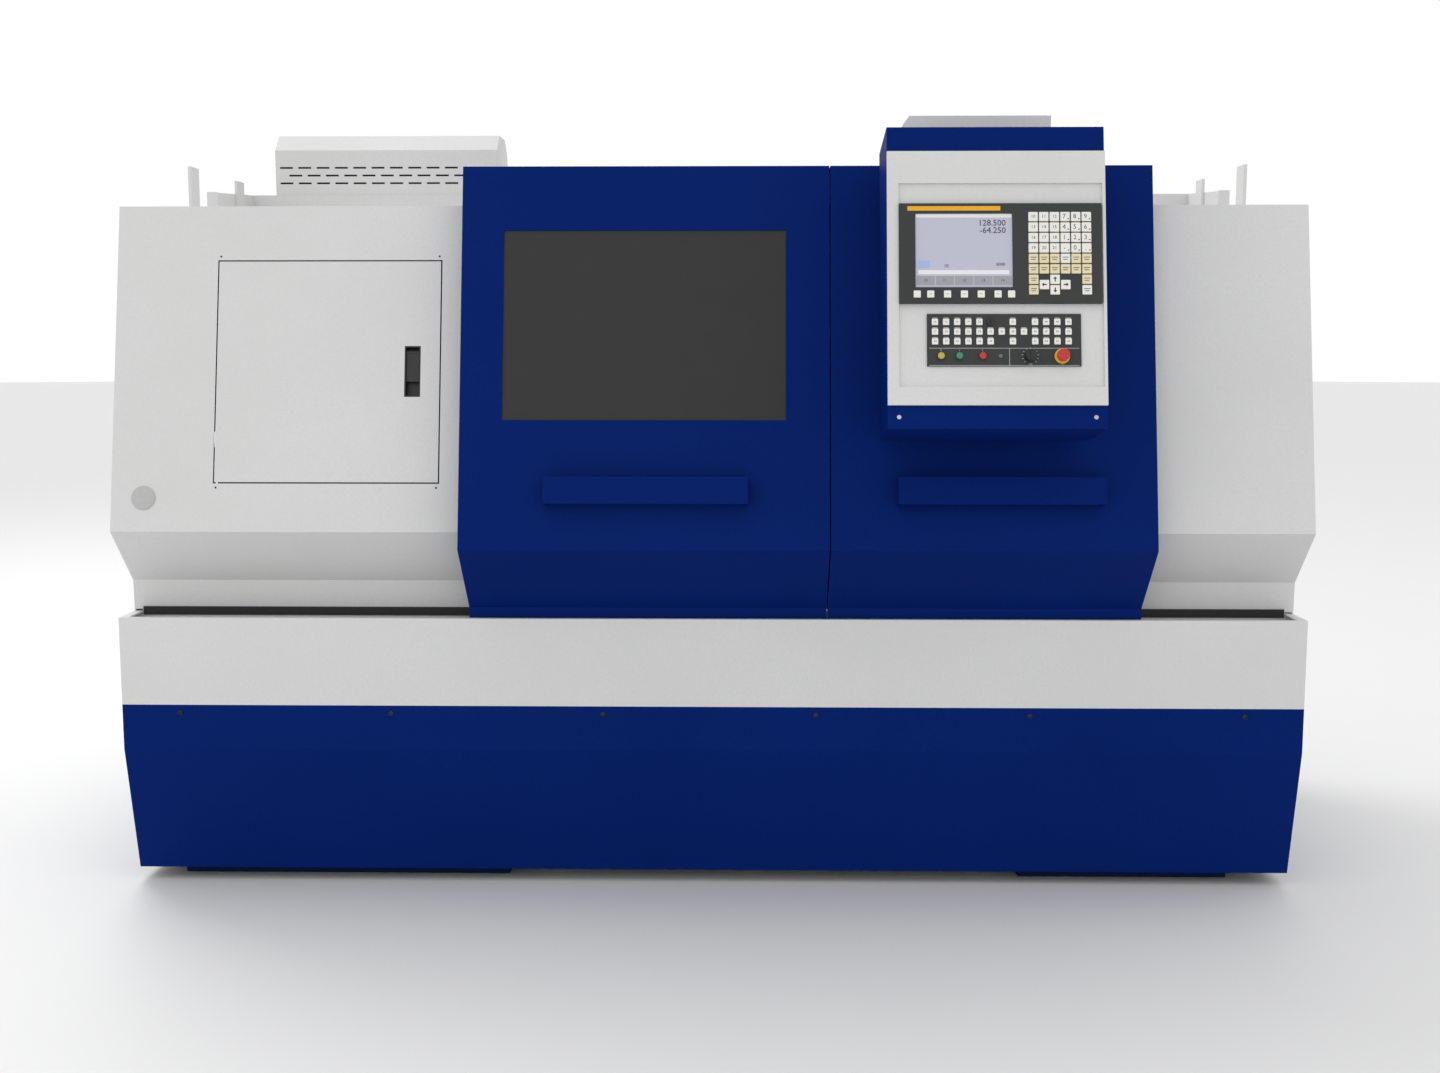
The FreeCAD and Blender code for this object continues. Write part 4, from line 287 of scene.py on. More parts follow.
# %% Finish each CAD piece
NODE_FINISH = {
    white_coat: [
        "oil_pan", "left_cover", "right_cover", "rear_cover", "corner_posts", "electric_cabinet",
        "cabinet_hood", "console_front_panel", "console_duct", "access_door", "cabinet_door",
    ],
    blue_coat: [
        "front_kick_panel", "side_kick_panels", "left_door_panel", "left_door_handle",
        "right_door_panel", "right_door_handle", "console_box",
    ],
    foot_coat: ["headstock_pedestal", "tailstock_pedestal"],
    grey_coat: ["door_upper_rail", "coolant_tank"],
    casting_paint: ["lathe_bed", "headstock", "saddle", "cross_slide", "tailstock_body"],
    turned_steel: [
        "spindle_bearings", "spindle", "chuck_body", "motor_pulley", "z_screw", "x_screw", "quill",
        "live_centre", "tailstock_handwheel",
    ],
    ground_steel: ["chuck_jaw_1", "chuck_jaw_2", "chuck_jaw_3", "turret_head"],
    oxide_steel: ["cutting_tools"],
    black_nylon: ["override_knob", "key_switch", "latch_housing", "latch_paddle", "cabinet_lock"],
    charcoal_abs: ["screen_unit", "operator_panel"],
    white_key_film: ["console_keys"],
    rubber_and_painted_shade: ["left_door_glides", "right_door_glides"],
    dark_pane: ["left_door_window"],
    belt_rubber: ["drive_belt"],
    red_cap: ["red_button", "estop_head"],
    yellow_cap: ["yellow_button"],
    green_cap: ["green_button"],
    motor_enamel: ["main_motor", "z_motor", "x_motor"],
}
for finish, names in NODE_FINISH.items():
    for name in names:
        mesh = frame["nodes"][name].data
        mesh.materials.clear()
        mesh.materials.append(finish)
unpainted = set(frame["nodes"]) - {n for names in NODE_FINISH.values() for n in names}
print("unpainted:", sorted(unpainted))

# %% [markdown]
# ## Frames of reference for details
# A screw or a key is easiest to draw lying flat at zero and then to lay on the face it belongs to. Each face
# gets a frame in millimetres: X across, Y up the face, Z out of it. Upright faces need a plain turn. The
# leaning ones take their slope from the CAD piece itself, so that a detail can't float above it.


# %% Frames
WORLD = Matrix.Scale(MM, 4)
FRONT = Matrix.Rotation(math.pi / 2, 4, "X")
BACK = Matrix.Rotation(math.pi, 4, "Z") @ FRONT
LEFT = Matrix.Rotation(-math.pi / 2, 4, "Z") @ FRONT
RIGHT = Matrix.Rotation(math.pi / 2, 4, "Z") @ FRONT
TOP = Matrix.Identity(4)


def at(x, y, z, turn=TOP):
    """A frame in millimetres at a point of the machine, turned so that its Z leaves the face."""
    return WORLD @ Matrix.Translation((x, y, z)) @ turn


def leaning_frame(origin, out):
    """A frame in millimetres on a face that leans back, from a point on it and the way out of it."""
    across = Vector((1, 0, 0))
    turn = Matrix((across, out.cross(across), out)).transposed().to_4x4()
    return Matrix.Translation(origin) @ turn @ WORLD


def joint(name):
    return next(j for j in frame["joints"] if j["name"] == name)


knob = joint("override_knob_turn")
console_out = -Vector(knob["axis"]).normalized()
knob_frame = leaning_frame(Vector(knob["pos_m"]), console_out)
# the knob's pivot lies 638 mm from the middle, 411 mm below the console's top line and 10 mm proud of it
console = knob_frame @ Matrix.Translation((-638, 411, -10))


def face_of(node):
    """A frame on the leaning front face of a flat CAD piece, at its lowest left corner."""
    points = [v.co for v in frame["nodes"][node].data.vertices]
    foot = min(points, key=lambda p: (round(p.y, 5), p.x))
    head = max(points, key=lambda p: (round(p.z, 5), -p.x))
    up = Vector((0, head.y - foot.y, head.z - foot.z)).normalized()
    return leaning_frame(foot, Vector((1, 0, 0)).cross(up))


access = face_of("access_door")
print("console leans", round(math.degrees(math.asin(console_out.z)), 1), "degrees back")

# %% [markdown]
# ## Three ways to draw a small piece
# `block` and `lathe` cover most hardware: a folded or moulded thing is a block, a turned one is a profile
# spun round an axis. `finish_piece` turns the drawing into an object with softened edges and hands it to
# the body that carries it. Printed numbers come from Blender's own font, made into thin plates.


# %% Drawing helpers
def block(bm, low, high, place=WORLD):
    """A box between two corners."""
    middle = (Vector(low) + Vector(high)) / 2
    size = Vector(high) - Vector(low)
    bmesh.ops.create_cube(bm, matrix=place @ Matrix.Translation(middle) @ Matrix.Diagonal((*size, 1)))


def lathe(bm, profile, place=WORLD, sides=24):
    """A solid of revolution; profile runs from the axis at the foot, out, up and back to the axis."""
    rings = []
    for radius, height in profile:
        turns = [i * math.tau / sides for i in range(sides if radius else 1)]
        spots = [Vector((radius * math.cos(a), radius * math.sin(a), height)) for a in turns]
        rings.append([bm.verts.new(place @ spot) for spot in spots])
    for low, high in zip(rings, rings[1:]):
        for i in range(sides):
            j = (i + 1) % sides
            corners = [low[i % len(low)], low[j % len(low)], high[j % len(high)], high[i % len(high)]]
            corners = list(dict.fromkeys(corners))
            if len(corners) > 2:
                bm.faces.new(corners)


PRINT_THICKNESS = 0.06


def number(bm, text, size, x, y, z, place, align="CENTER"):
    """Printed text as thin plates, standing z proud of the face."""
    curve = bpy.data.curves.new("print", "FONT")
    curve.body = text
    curve.size = size
    curve.extrude = PRINT_THICKNESS
    curve.resolution_u = 2
    curve.align_x = align
    curve.align_y = "CENTER"
    holder = bpy.data.objects.new("print", curve)
    mesh = bpy.data.meshes.new_from_object(holder)
    mesh.transform(place @ Matrix.Translation((x, y, z)))
    bm.from_mesh(mesh)
    bpy.data.objects.remove(holder)
    bpy.data.curves.remove(curve)
    bpy.data.meshes.remove(mesh)


def smooth_shape(bm, sharp=0.6):
    """Smooth shading, with edges sharper than this angle kept crisp."""
    bm.normal_update()
    for face in bm.faces:
        face.smooth = True
    for edge in bm.edges:
        edge.smooth = len(edge.link_faces) == 2 and edge.calc_face_angle() < sharp


def finish_piece(name, bm, finish, body, edge=0.0):
    """The drawing as an object that rides on a body; edge is the rounding in millimetres."""
    smooth_shape(bm)
    mesh = bpy.data.meshes.new(name)
    bm.to_mesh(mesh)
    bm.free()
    mesh.materials.append(finish)
    piece = bpy.data.objects.new(name, mesh)
    scene.collection.objects.link(piece)
    if edge:
        rounding = piece.modifiers.new("round_edges", "BEVEL")
        rounding.width = edge * MM
        rounding.segments = 2
    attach(piece, body)
    print(name, len(mesh.polygons), "faces on", body)
    return piece


# %% [markdown]
# ## Things that repeat
# A machine has hundreds of screws, keys, slats and threads. Geometry Nodes place them by rule: a grid, a ring
# or a helix. Each tree has named inputs for its sizes. The result is turned into a plain mesh, because an
# exported file can't hold instances, and is then laid on its face.


# %% Geometry Nodes helpers
def new_tree(name, inputs):
    """An empty tree with named inputs; gives the tree and its input sockets by name."""
    tree = bpy.data.node_groups.new(name, "GeometryNodeTree")
    for label, kind in inputs.items():
        tree.interface.new_socket(label, in_out="INPUT", socket_type="NodeSocket" + kind)
    tree.interface.new_socket("Geometry", in_out="OUTPUT", socket_type="NodeSocketGeometry")
    return tree, add(tree, "NodeGroupInput").outputs


def end_tree(tree, geometry, finish):
    """Makes instances real, gives them their finish and sends them out."""
    real = add(tree, "GeometryNodeRealizeInstances", {"Geometry": geometry})
    painted = add(tree, "GeometryNodeSetMaterial", {"Geometry": real.outputs[0], "Material": finish})
    add(tree, "NodeGroupOutput", {"Geometry": painted.outputs[0]})


def grow(name, tree, settings, body, place):
    """Runs a tree, lays the result on its face as a plain mesh and hands it to a body."""
    piece = bpy.data.objects.new(name, bpy.data.meshes.new(name))
    scene.collection.objects.link(piece)
    modifier = piece.modifiers.new("tree", "NODES")
    modifier.node_group = tree
    for socket in tree.interface.items_tree:
        if socket.in_out == "INPUT":
            modifier[socket.identifier] = settings[socket.name]
    graph = bpy.context.evaluated_depsgraph_get()
    mesh = bpy.data.meshes.new_from_object(piece.evaluated_get(graph))
    piece.modifiers.remove(modifier)
    mesh.transform(place)
    mesh.name = name
    piece.data = mesh
    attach(piece, body)
    print(name, len(mesh.polygons), "faces on", body)
    return piece


def grid_tree():
    """Copies an item over a grid of points."""
    kinds = {"Start": "Vector", "Across": "Vector", "Across Count": "Int", "Down": "Vector"}
    kinds.update({"Down Count": "Int", "Item": "Object", "Finish": "Material"})
    tree, given = new_tree("grid_of_items", kinds)
    line = {"Count": given["Across Count"], "Start Location": given["Start"], "Offset": given["Across"]}
    row = add(tree, "GeometryNodeMeshLine", line)
    column = add(tree, "GeometryNodeMeshLine", {"Count": given["Down Count"], "Offset": given["Down"]})
    columns = {"Points": row.outputs[0], "Instance": column.outputs[0]}
    grid = add(tree, "GeometryNodeInstanceOnPoints", columns)
    spots = add(tree, "GeometryNodeRealizeInstances", {"Geometry": grid.outputs[0]})
    item = add(tree, "GeometryNodeObjectInfo", {"Object": given["Item"]})
    placed = {"Points": spots.outputs[0], "Instance": item.outputs["Geometry"]}
    end_tree(tree, add(tree, "GeometryNodeInstanceOnPoints", placed).outputs[0], given["Finish"])
    return tree


def ring_tree():
    """Copies an item round a circle, each copy turned with its place."""
    kinds = {"Count": "Int", "Radius": "Float", "First Angle": "Float", "Step": "Float"}
    kinds.update({"Item": "Object", "Finish": "Material"})
    tree, given = new_tree("ring_of_items", kinds)
    points = add(tree, "GeometryNodeMeshLine", {"Count": given["Count"], "Offset": (0, 0, 0)})
    index = add(tree, "GeometryNodeInputIndex").outputs[0]
    stepped = {0: index, 1: given["Step"], 2: given["First Angle"]}
    angle = add(tree, "ShaderNodeMath", stepped, operation="MULTIPLY_ADD")
    turn = add(tree, "ShaderNodeCombineXYZ", {"Z": angle.outputs[0]})
    arm = add(tree, "ShaderNodeCombineXYZ", {"X": given["Radius"]})
    spun = {"Vector": arm.outputs[0], "Angle": angle.outputs[0], "Axis": (0, 0, 1)}
    spot = add(tree, "ShaderNodeVectorRotate", spun)
    moved = add(tree, "GeometryNodeSetPosition", {"Geometry": points.outputs[0], "Position": spot.outputs[0]})
    item = add(tree, "GeometryNodeObjectInfo", {"Object": given["Item"]})
    placed = {"Points": moved.outputs[0], "Instance": item.outputs["Geometry"], "Rotation": turn.outputs[0]}
    end_tree(tree, add(tree, "GeometryNodeInstanceOnPoints", placed).outputs[0], given["Finish"])
    return tree


def helix_tree():
    """Winds a thin ridge round an axis, as the crest of a screw thread."""
    kinds = {"Turns": "Float", "Radius": "Float", "Length": "Float", "Ridge": "Float", "Finish": "Material"}
    tree, given = new_tree("thread_helix", kinds)
    path = {"Resolution": 14, "Rotations": given["Turns"], "Height": given["Length"]}
    path.update({"Start Radius": given["Radius"], "End Radius": given["Radius"]})
    spiral = add(tree, "GeometryNodeCurveSpiral", path)
    profile = add(tree, "GeometryNodeCurvePrimitiveCircle", {"Resolution": 4, "Radius": given["Ridge"]})
    swept = {"Curve": spiral.outputs[0], "Profile Curve": profile.outputs[0], "Fill Caps": True}
    end_tree(tree, add(tree, "GeometryNodeCurveToMesh", swept).outputs[0], given["Finish"])
    return tree


GRID = grid_tree()
RING = ring_tree()
HELIX = helix_tree()
print("trees:", [t.name for t in bpy.data.node_groups])

# %% [markdown]
# ## Screws
# The sheets are held by M6 and M8 button-head screws with a hexagon socket. One head is drawn once, with a
# few dozen faces, and the grid tree sets it out. Each row takes its height from the panel it holds.


# %% One screw head, many places
def item_of(name, bm):
    """A drawing in millimetres kept aside for a tree to copy."""
    smooth_shape(bm)
    mesh = bpy.data.meshes.new(name)
    bm.to_mesh(mesh)
    bm.free()
    return bpy.data.objects.new(name, mesh)


def screw_head(radius, height):
    """Button head with a socket."""
    bm = bmesh.new()
    socket = 0.42 * radius
    dome = [(radius, 0.45 * height), (0.75 * radius, 0.9 * height), (0.55 * radius, height)]
    hole = [(socket, height), (socket, 0.4 * height), (0, 0.4 * height)]
    lathe(bm, [(0, 0), (radius, 0)] + dome + hole, TOP, 12)
    return item_of("screw_head", bm)


def screw_grid(name, head, place, across, columns, up=0.0, rows=1, finish=oxide_steel, body="machine"):
    """Screw heads over a grid; the frame's origin is the first one."""
    settings = {"Start": (0, 0, 0), "Across": (across, 0, 0), "Across Count": columns}
    settings.update({"Down": (0, up, 0), "Down Count": rows, "Item": head, "Finish": finish})
    return grow(name, GRID, settings, body, place)


def box_mm(node):
    """Lowest and highest corner of a CAD piece, in millimetres."""
    return (1000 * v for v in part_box(node))


m6_head = screw_head(5.5, 3.0)
m8_head = screw_head(7.5, 4.2)
kick_low, kick_high = box_mm("front_kick_panel")
rear_low, rear_high = box_mm("rear_cover")
left_low, left_high = box_mm("left_cover")
right_low, right_high = box_mm("right_cover")
side_low, side_high = box_mm("side_kick_panels")

KICK_SCREW_X = 1171.5  # the outermost screw of the front panel, from the machine's middle
KICK_SCREWS = 6
kick_pitch = 2 * KICK_SCREW_X / (KICK_SCREWS - 1)
kick_z = kick_high.z - 18
kick_row = at(-KICK_SCREW_X, kick_low.y, kick_z, FRONT)
screw_grid("kick_panel_screws", m6_head, kick_row, kick_pitch, KICK_SCREWS)
screw_grid("left_kick_screws", m6_head, at(side_low.x, 420, kick_z, LEFT), 270, 4)
screw_grid("right_kick_screws", m6_head, at(side_high.x, -390, kick_z, RIGHT), 270, 4)
rear_corner = at(rear_high.x - 25, rear_high.y, rear_low.z + 60, BACK)
screw_grid("rear_wall_screws", m6_head, rear_corner, 360, 5, 460, 3, zinc_plate)
left_roof = at(left_low.x + 60, -300, left_high.z)
screw_grid("left_roof_screws", m6_head, left_roof, 200, 4, 380, 2, zinc_plate)
right_roof = at(right_low.x + 45, -300, right_high.z)
screw_grid("right_roof_screws", m6_head, right_roof, 140, 3, 380, 2, zinc_plate)
left_end = at(left_low.x, 130, left_low.z + 30, LEFT)
screw_grid("left_end_screws", m6_head, left_end, 170, 3, 840, 2, zinc_plate)
right_end = at(right_high.x, -210, right_low.z + 30, RIGHT)
screw_grid("right_end_screws", m6_head, right_end, 170, 3, 840, 2, zinc_plate)

# %% [markdown]
# ## Left cover: plug, rivet, and painted shade at the cover foot and the hood's slots
# A grey plastic plug closes a hole that a hose would need. A dark rubber strip runs along the foot of both
# covers as painted shade, for the shadowed gutter below them. Behind the slots of the tall cabinet's hood
# lies a dark sheet, painted shade that makes the slots look dark.

# %% Left cover details
bm = bmesh.new()
plug_profile = [(0, 0), (26, 0), (26, 1.6), (24.5, 2.8), (20, 3.2), (0, 3.4)]
lathe(bm, plug_profile, access @ Matrix.Translation((-153.3, -35, 0)), 40)
finish_piece("blanking_plug", bm, plug_grey, "machine")
bm = bmesh.new()
rivet_profile = [(0, 0), (2.2, 0), (1.8, 0.8), (0, 1.2)]
for x, y in ((3.5, -12), (484, -12), (3.5, 497), (484, 497)):
    lathe(bm, rivet_profile, access @ Matrix.Translation((x, y, 0)), 12)
finish_piece("cover_rivets", bm, oxide_steel, "machine")

LEDGE_Z = 621  # the oil pan's raised ledge, which the covers stand on
# a dark rubber strip along the foot of both covers, painted shade of the gutter beneath them
bm = bmesh.new()
for left, right in ((-1278, -503), (915, 1278)):
    block(bm, (left, -403.5, LEDGE_Z - 12), (right, -400, LEDGE_Z + 7))
finish_piece("cover_foot_seal", bm, rubber_and_painted_shade, "machine", 1.0)

hood_low, hood_high = box_mm("cabinet_hood")
# a dark sheet behind the hood's slots, painted shade of the space behind them
bm = bmesh.new()
block(bm, (hood_low.x + 6, hood_low.y + 4, 1645), (hood_high.x - 6, hood_low.y + 9, 1714))
finish_piece("hood_filter_mat", bm, slot_shade_sheet, "machine", 1.0)

# %% [markdown]
# ## The control console
# The display unit and the keyboard share one moulded frame. The screen is a small LCD behind a flat sheet, so
# it is drawn as plates a fraction of a millimetre thick: a pale field, two white bars, two rows of numbers
# and a row of softkey names. It is lit, so its colours hardly vary. The keys are film-covered blocks.

# %% Lit display
KEY_FACE = 13.0  # height of the display unit's face above the console's
GLASS = 10.0  # height of its sunk screen
SCREEN_LEFT, SCREEN_RIGHT, SCREEN_TOP, SCREEN_FOOT = 413.7, 604.4, -127.1, -274.4


def screen_plates(name, plates, finish):
    """Thin lit plates, each given as left, foot, right and top."""
    bm = bmesh.new()
    for left, foot, right, top in plates:
        block(bm, (left, foot, GLASS), (right, top, GLASS + 0.4), console)
    finish_piece(name, bm, finish, "right_door")


bm = bmesh.new()
block(bm, (SCREEN_LEFT, SCREEN_FOOT, GLASS - 2), (SCREEN_RIGHT, SCREEN_TOP, GLASS + 0.2), console)
finish_piece("display_field", bm, lit_display, "right_door")
screen_plates("display_bars", [(415, -135, 603, -128), (419, -248.6, 598, -240.3)], lit_white)
screen_plates("display_box", [(419, -236, 442, -221)], lit_blue)
NAME_X, NAME_WIDTH, NAME_PITCH = 415.5, 36, 37.8
name_lefts = [NAME_X + NAME_PITCH * i for i in range(5)]
screen_plates("display_softkeys", [(x, -270, x + NAME_WIDTH, -252) for x in name_lefts], lit_grey)
bm = bmesh.new()
number(bm, "128.500", 17, 592, -146.2, GLASS + 0.5, console, "RIGHT")
number(bm, "-64.250", 17, 592, -161, GLASS + 0.5, console, "RIGHT")
number(bm, "10", 9, 474, -232, GLASS + 0.5, console)
number(bm, "0000", 9, 590, -229, GLASS + 0.5, console, "RIGHT")
for i, x in enumerate(name_lefts):
    number(bm, str(10 + i), 8, x + NAME_WIDTH / 2, -261, GLASS + 0.5, console)
finish_piece("display_numbers", bm, lit_ink, "right_door")
bm = bmesh.new()
block(bm, (398, -121.8, KEY_FACE - 0.5), (581, -112.8, KEY_FACE + 0.3), console)
finish_piece("unit_yellow_strip", bm, signal_yellow, "right_door", 0.2)


# %% Keys
def key_block(size, rise):
    """A film-covered key with softened corners."""
    bm = bmesh.new()
    block(bm, (-size / 2, -size / 2, -0.5), (size / 2, size / 2, rise), TOP)
    bmesh.ops.bevel(bm, geom=bm.edges[:], offset=0.7, segments=2, affect="EDGES")
    return item_of("key_block", bm)


def key_grid(name, key, x, down, z, pitch, columns, rows, finish):
    """A block of equal keys, its first key at the top left."""
    settings = {"Start": (x, -down, z), "Across": (pitch[0], 0, 0), "Across Count": columns}
    settings.update({"Down": (0, -pitch[1], 0), "Down Count": rows, "Item": key, "Finish": finish})
    return grow(name, GRID, settings, "right_door", console)


KEY = key_block(18.6, 2.5)
SOFT_KEY = key_block(14.0, 2.5)
SMALL_KEY = key_block(12.4, 2.5)
PITCH = 20.9
FIRST_X, FIRST_DOWN = 644.9, 134.5


def unit_keys(name, column, row, columns, rows, finish):
    """Keys of the display unit, counted in key pitches from its first letter key."""
    x, down = FIRST_X + column * PITCH, FIRST_DOWN + row * PITCH
    return key_grid(name, KEY, x, down, KEY_FACE, (PITCH, PITCH), columns, rows, finish)


letter_keys = unit_keys("letter_keys", 0, 0, 6, 4, white_key_film)
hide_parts("console_keys")
unit_keys("edit_keys_left", 0, 4, 3, 2, beige_key_film)
unit_keys("edit_keys_right", 4, 4, 2, 2, beige_key_film)
unit_keys("shift_key", 3, 4, 1, 1, white_key_film)
unit_keys("cancel_key", 3, 5, 1, 1, beige_key_film)
for column, row, count, finish in (
    (1, 6.5, 1, white_key_film), (3, 6.5, 1, white_key_film), (2, 6, 2, white_key_film),
    (0, 6, 2, beige_key_film), (5, 6, 1, beige_key_film), (5, 7, 1, white_key_film),
):
    unit_keys(f"cursor_key_{column}_{round(row)}", column, row, 1, count, finish)

SOFT_X, SOFT_DOWN, SOFT_PITCH = 442.8, 289, 33.0
PAGE_X, PAGE_APART = 416.3, 185.0
key_grid("screen_keys", SOFT_KEY, SOFT_X, SOFT_DOWN, KEY_FACE, (SOFT_PITCH, 0), 5, 1, white_key_film)
key_grid("page_keys", SOFT_KEY, PAGE_X, SOFT_DOWN, KEY_FACE, (PAGE_APART, 0), 2, 1, white_key_film)

# %% [markdown]
# ### Operator panel
# Below the display the lathe's own panel has three rows of small keys with a pale line over each, then the
# buttons, the feed override and the emergency stop in its yellow ring.

# %% Small keys and their labels
PANEL_FACE = 7.0  # height of the operator panel's face above the console's
BUTTONS_DOWN = 411
BUTTON_XS = (463, 499, 544.5)
LAMP_X, OVERRIDE_X, STOP_X = 580, 638, 700.5
SMALL_X, SMALL_DOWN, SMALL_PITCH = 451.4, 343.3, (21.8, 19.3)
# each run of small keys as its row, first column and count
runs = [(0, 0, 5), (1, 0, 9), (2, 0, 6), (0, 7, 1), (2, 7, 1), (0, 9, 4), (1, 9, 4), (2, 9, 4)]


def small_key_place(row, column):
    """Where a small key lies: across the console and down it."""
    return SMALL_X + column * SMALL_PITCH[0], SMALL_DOWN + row * SMALL_PITCH[1]


for row, column, count in runs:
    name = f"panel_keys_{row}_{column}"
    x, down = small_key_place(row, column)
    key_grid(name, SMALL_KEY, x, down, PANEL_FACE, SMALL_PITCH, count, 1, white_key_film)

bm = bmesh.new()
for row, column, count in runs:
    for i in range(count):
        x, down = small_key_place(row, column + i)
        block(bm, (x - 5, -down + 7.2, PANEL_FACE), (x + 5, -down + 8.6, PANEL_FACE + 0.15), console)
for left, foot, right, top in ((440, 395.8, 734, 395), (440, 430, 734, 429.2), (597, 429.2, 597.8, 395.8)):
    block(bm, (left, -foot, PANEL_FACE), (right, -top, PANEL_FACE + 0.15), console)
for x, text in zip(BUTTON_XS, "012"):
    number(bm, text, 5, x, -399.6, PANEL_FACE + 0.1, console)
for x, text in ((OVERRIDE_X, "100"), (STOP_X, "0")):
    number(bm, text, 5, x, -427.5, PANEL_FACE + 0.1, console)
finish_piece("panel_print", bm, pale_ink, "right_door")

# %% Legends of the keys
bm = bmesh.new()
LEGEND = KEY_FACE + 2.55  # just above the unit's keys
SMALL_LEGEND = PANEL_FACE + 2.55
for row in range(4):
    for column in range(6):
        x, y = FIRST_X + column * PITCH, -FIRST_DOWN - row * PITCH
        if column < 3:
            number(bm, str(10 + row * 3 + column), 9, x, y, LEGEND, console)
        else:
            number(bm, "789456123-0."[row * 3 + column - 3], 13, x - 2, y, LEGEND, console)
            block(bm, (x + 4.5, y - 5.5, LEGEND), (x + 7.5, y - 3.5, LEGEND + 0.1), console)
for column, row in [(c, r) for r in (4, 5) for c in range(6)] + [(0, 6), (0, 7), (5, 6), (5, 7)]:
    x, y = FIRST_X + column * PITCH, -FIRST_DOWN - row * PITCH
    block(bm, (x - 6, y + 1.5, LEGEND), (x + 6, y + 2.8, LEGEND + 0.1), console)
    block(bm, (x - 5, y - 2.8, LEGEND), (x + 4, y - 1.5, LEGEND + 0.1), console)
ARROW = [(-4.5, -1.2), (1, -1.2), (1, -4), (5.5, 0), (1, 4), (1, 1.2), (-4.5, 1.2)]
for column, row, angle in ((1, 6.5, 180), (3, 6.5, 0), (2, 6, 90), (2, 7, -90)):
    x, y = FIRST_X + column * PITCH, -FIRST_DOWN - row * PITCH
    place = console @ Matrix.Translation((x, y, LEGEND)) @ Matrix.Rotation(math.radians(angle), 4, "Z")
    bm.faces.new([bm.verts.new(place @ Vector((*p, 0.05))) for p in ARROW])
for i in range(5):
    x = SOFT_X + SOFT_PITCH * i
    block(bm, (x - 2.5, -SOFT_DOWN - 0.4, LEGEND), (x + 2.5, -SOFT_DOWN + 0.4, LEGEND + 0.1), console)
for row, column, count in runs:
    for i in range(count):
        x, down = small_key_place(row, column + i)
        label = str((7 * row + 3 * (column + i)) % 90 + 10)
        number(bm, label, 5.5, x, -down, SMALL_LEGEND, console)
finish_piece("key_legends", bm, print_ink, "right_door")

# %% Lamp, rings and scale
def console_spot(x, down, height=PANEL_FACE):
    """A frame in millimetres at a point of the console."""
    return console @ Matrix.Translation((x, -down, height))


bm = bmesh.new()
lathe(bm, [(0, 0), (4.2, 0), (4.2, 1.2), (3, 2.2), (0, 2.6)], console_spot(LAMP_X, BUTTONS_DOWN), 20)
finish_piece("ready_lamp", bm, lamp_green, "right_door")
bm = bmesh.new()
ring_profile = [(8, 0), (15, 0), (15, 0.8), (13.5, 1.4), (8, 1.4), (8, 0)]
lathe(bm, ring_profile, console_spot(STOP_X, BUTTONS_DOWN), 40)
finish_piece("stop_ring", bm, signal_yellow, "right_door")
bm = bmesh.new()
bezel_profile = [(5.6, 0), (8.6, 0), (8.6, 1.0), (7.4, 1.8), (5.6, 1.8), (5.6, 0)]
for x in BUTTON_XS:
    lathe(bm, bezel_profile, console_spot(x, BUTTONS_DOWN), 32)
finish_piece("button_bezels", bm, black_nylon, "right_door")
bm = bmesh.new()
block(bm, (-1.8, -0.4, 0), (1.8, 0.4, 0.2), TOP)
mark = item_of("scale_mark", bm)
arc = {"Count": 11, "Radius": 15.5, "First Angle": math.radians(-45), "Step": math.radians(27)}
arc.update({"Item": mark, "Finish": pale_ink})
grow("override_scale", RING, arc, "right_door", console_spot(OVERRIDE_X, BUTTONS_DOWN))
bm = bmesh.new()
screw_profile = [(0, 0), (4.5, 0), (4.5, 1.6), (3.6, 2.4), (1.8, 2.4), (1.8, 1.2), (0, 1.2)]
for x in (381, 767):
    lathe(bm, screw_profile, console_spot(x, 531, 0), 16)
finish_piece("console_screws", bm, zinc_plate, "right_door")

# %% [markdown]
# ## Feed screws
# A ball screw has a rolled thread with a round groove. The CAD bar has the outer size, so the crest is drawn
# as a thin ridge that winds round it: ten millimetres to the turn on the long screw, five on the short one,
# and each rides on its own screw, so it turns with it.


# %% Threads
def thread(name, node, body, pitch, inset, ridge=0.7):
    """Winds a crest round a feed screw, from box to box."""
    low, high = box_mm(node)
    along = max(range(3), key=lambda i: high[i] - low[i])
    radius = min((high[i] - low[i]) / 2 for i in range(3))
    length = high[along] - low[along] - 2 * inset
    turn = RIGHT if along == 0 else BACK
    start = (low + high) / 2
    start[along] = low[along] + inset
    settings = {"Turns": length / pitch, "Radius": radius - 0.4, "Length": length}
    settings.update({"Ridge": ridge, "Finish": zinc_plate})
    return grow(name, HELIX, settings, body, at(*start, turn))


thread("z_screw_thread", "z_screw", "z_screw", 10, 70)
thread("x_screw_thread", "x_screw", "x_screw", 5, 60, 0.5)

# %% [markdown]
# ## Chuck and turret
# Six screws hold the chuck to the spindle's nose, and eight clamp the tools in the turret. Both sets lie on a
# circle, so the ring tree places them.

# %% Chuck and turret screws
chuck_low, chuck_high = box_mm("chuck_body")
axis_z = (chuck_low.z + chuck_high.z) / 2
chuck_screws = {"Count": 6, "Radius": 82, "First Angle": math.radians(30), "Step": math.tau / 6}
chuck_screws.update({"Item": m8_head, "Finish": oxide_steel})
chuck_face = at(chuck_high.x, 0, axis_z, RIGHT)
grow("chuck_screws", RING, chuck_screws, "spindle", chuck_face)

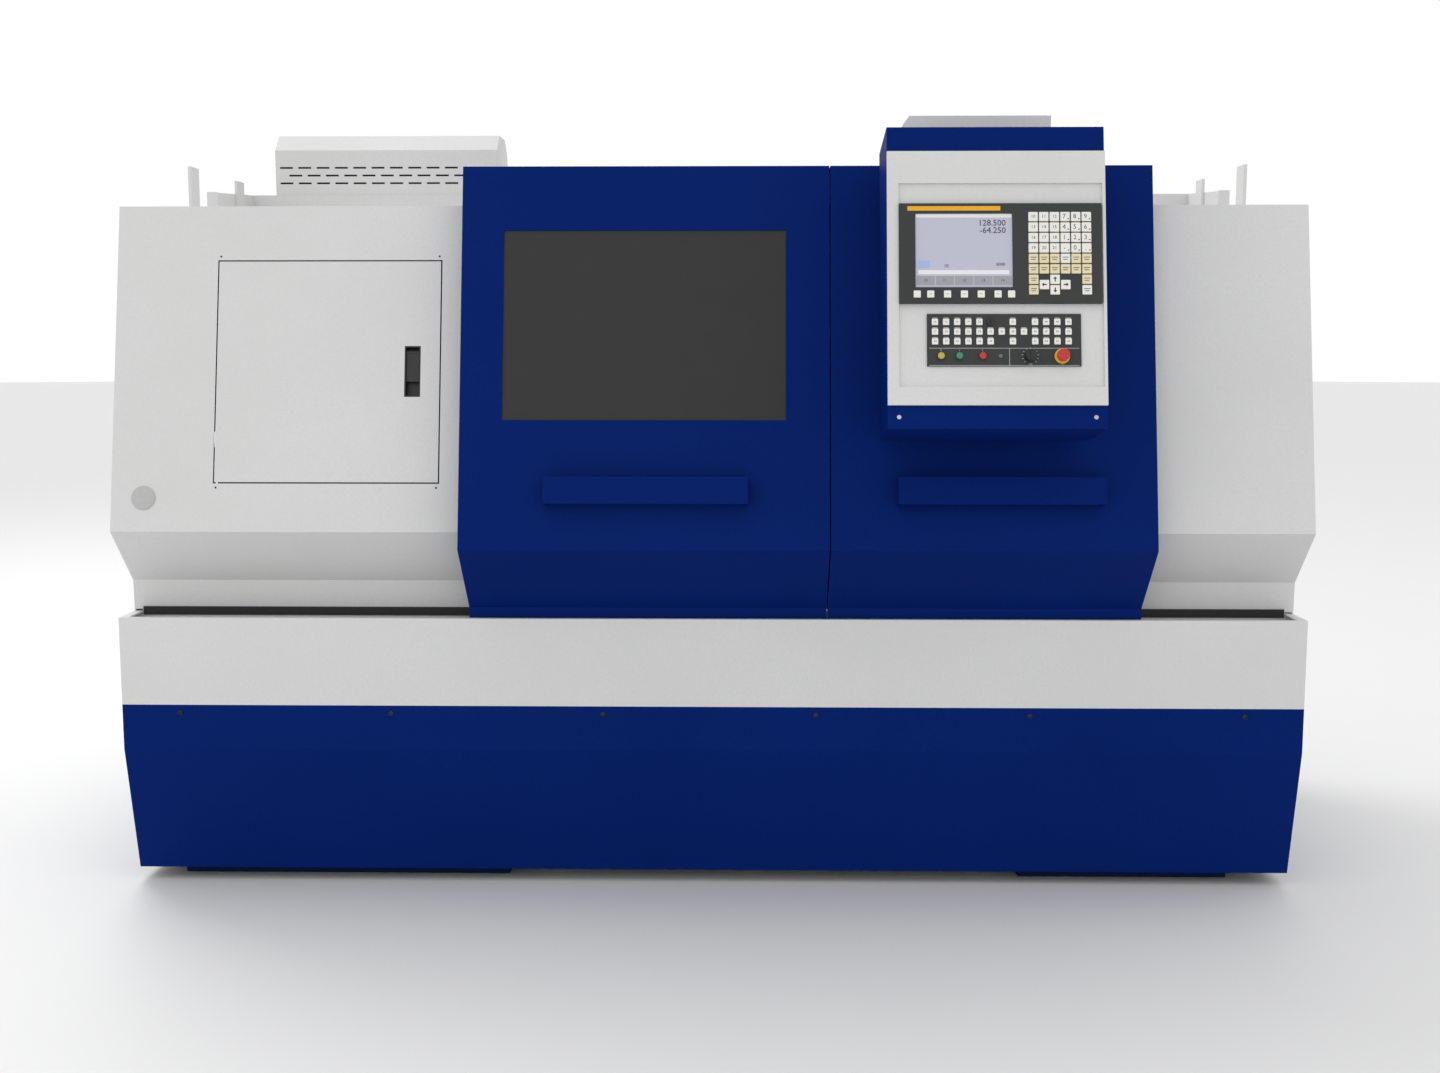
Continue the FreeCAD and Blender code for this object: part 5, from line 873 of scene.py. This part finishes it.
turret_low, turret_high = box_mm("turret_head")
turret_x, turret_y = (turret_low.x + turret_high.x) / 2, (turret_low.y + turret_high.y) / 2
turret_screws = {"Count": 8, "Radius": 62, "First Angle": math.radians(22.5), "Step": math.tau / 8}
turret_screws.update({"Item": m8_head, "Finish": oxide_steel})
turret_face = at(turret_x, turret_y, turret_high.z)
grow("turret_screws", RING, turret_screws, "turret", turret_face)

# %% [markdown]
# ## Motor and cabinet
# The main motor sheds its heat through ribs along its body. The cabinet's rear door has rows of pressed
# louvres, and the cooling air leaves through the hood above.

# %% Motor ribs and cabinet louvres
bm = bmesh.new()
block(bm, (-6, -1.5, 0), (6, 1.5, 260), TOP)
rib = item_of("motor_rib", bm)
RIBS = 36
ribs = {"Count": RIBS, "Radius": 121, "First Angle": 0.0, "Step": math.tau / RIBS}
ribs.update({"Item": rib, "Finish": motor_enamel})
grow("motor_ribs", RING, ribs, "machine", at(-1110, 0, 300, RIGHT))

door_low, door_high = box_mm("cabinet_door")
bm = bmesh.new()
# the louvre's section as points up the door and out of it
profile = [(0, 0), (0, 7), (1.2, 7), (5.5, 5), (8.0, 0)]
ends = [[bm.verts.new(Vector((x, up - 4, out))) for up, out in profile] for x in (-70, 70)]
for i in range(len(profile)):
    j = (i + 1) % len(profile)
    bm.faces.new([ends[0][i], ends[0][j], ends[1][j], ends[1][i]])
bm.faces.new(ends[0][::-1])
bm.faces.new(ends[1])
bmesh.ops.recalc_face_normals(bm, faces=bm.faces[:])
louvre = item_of("louvre", bm)
louvres = {"Start": (0, 0, 0), "Across": (240, 0, 0), "Across Count": 2}
louvres.update({"Down": (0, -18, 0), "Down Count": 10, "Item": louvre, "Finish": white_coat})
middle = (door_low.x + door_high.x) / 2
for name, top in (("cabinet_louvres", door_high.z - 120), ("cabinet_low_louvres", door_low.z + 320)):
    top_louvre = at(middle + 120, door_high.y, top, BACK)
    grow(name, GRID, louvres, "cabinet_door", top_louvre)

# %% Clear away the spare drawings
# the drawings that the trees copied are not pieces themselves
for spare in [o for o in bpy.data.objects if o.users_scene == () and o.type == "MESH"]:
    bpy.data.objects.remove(spare)
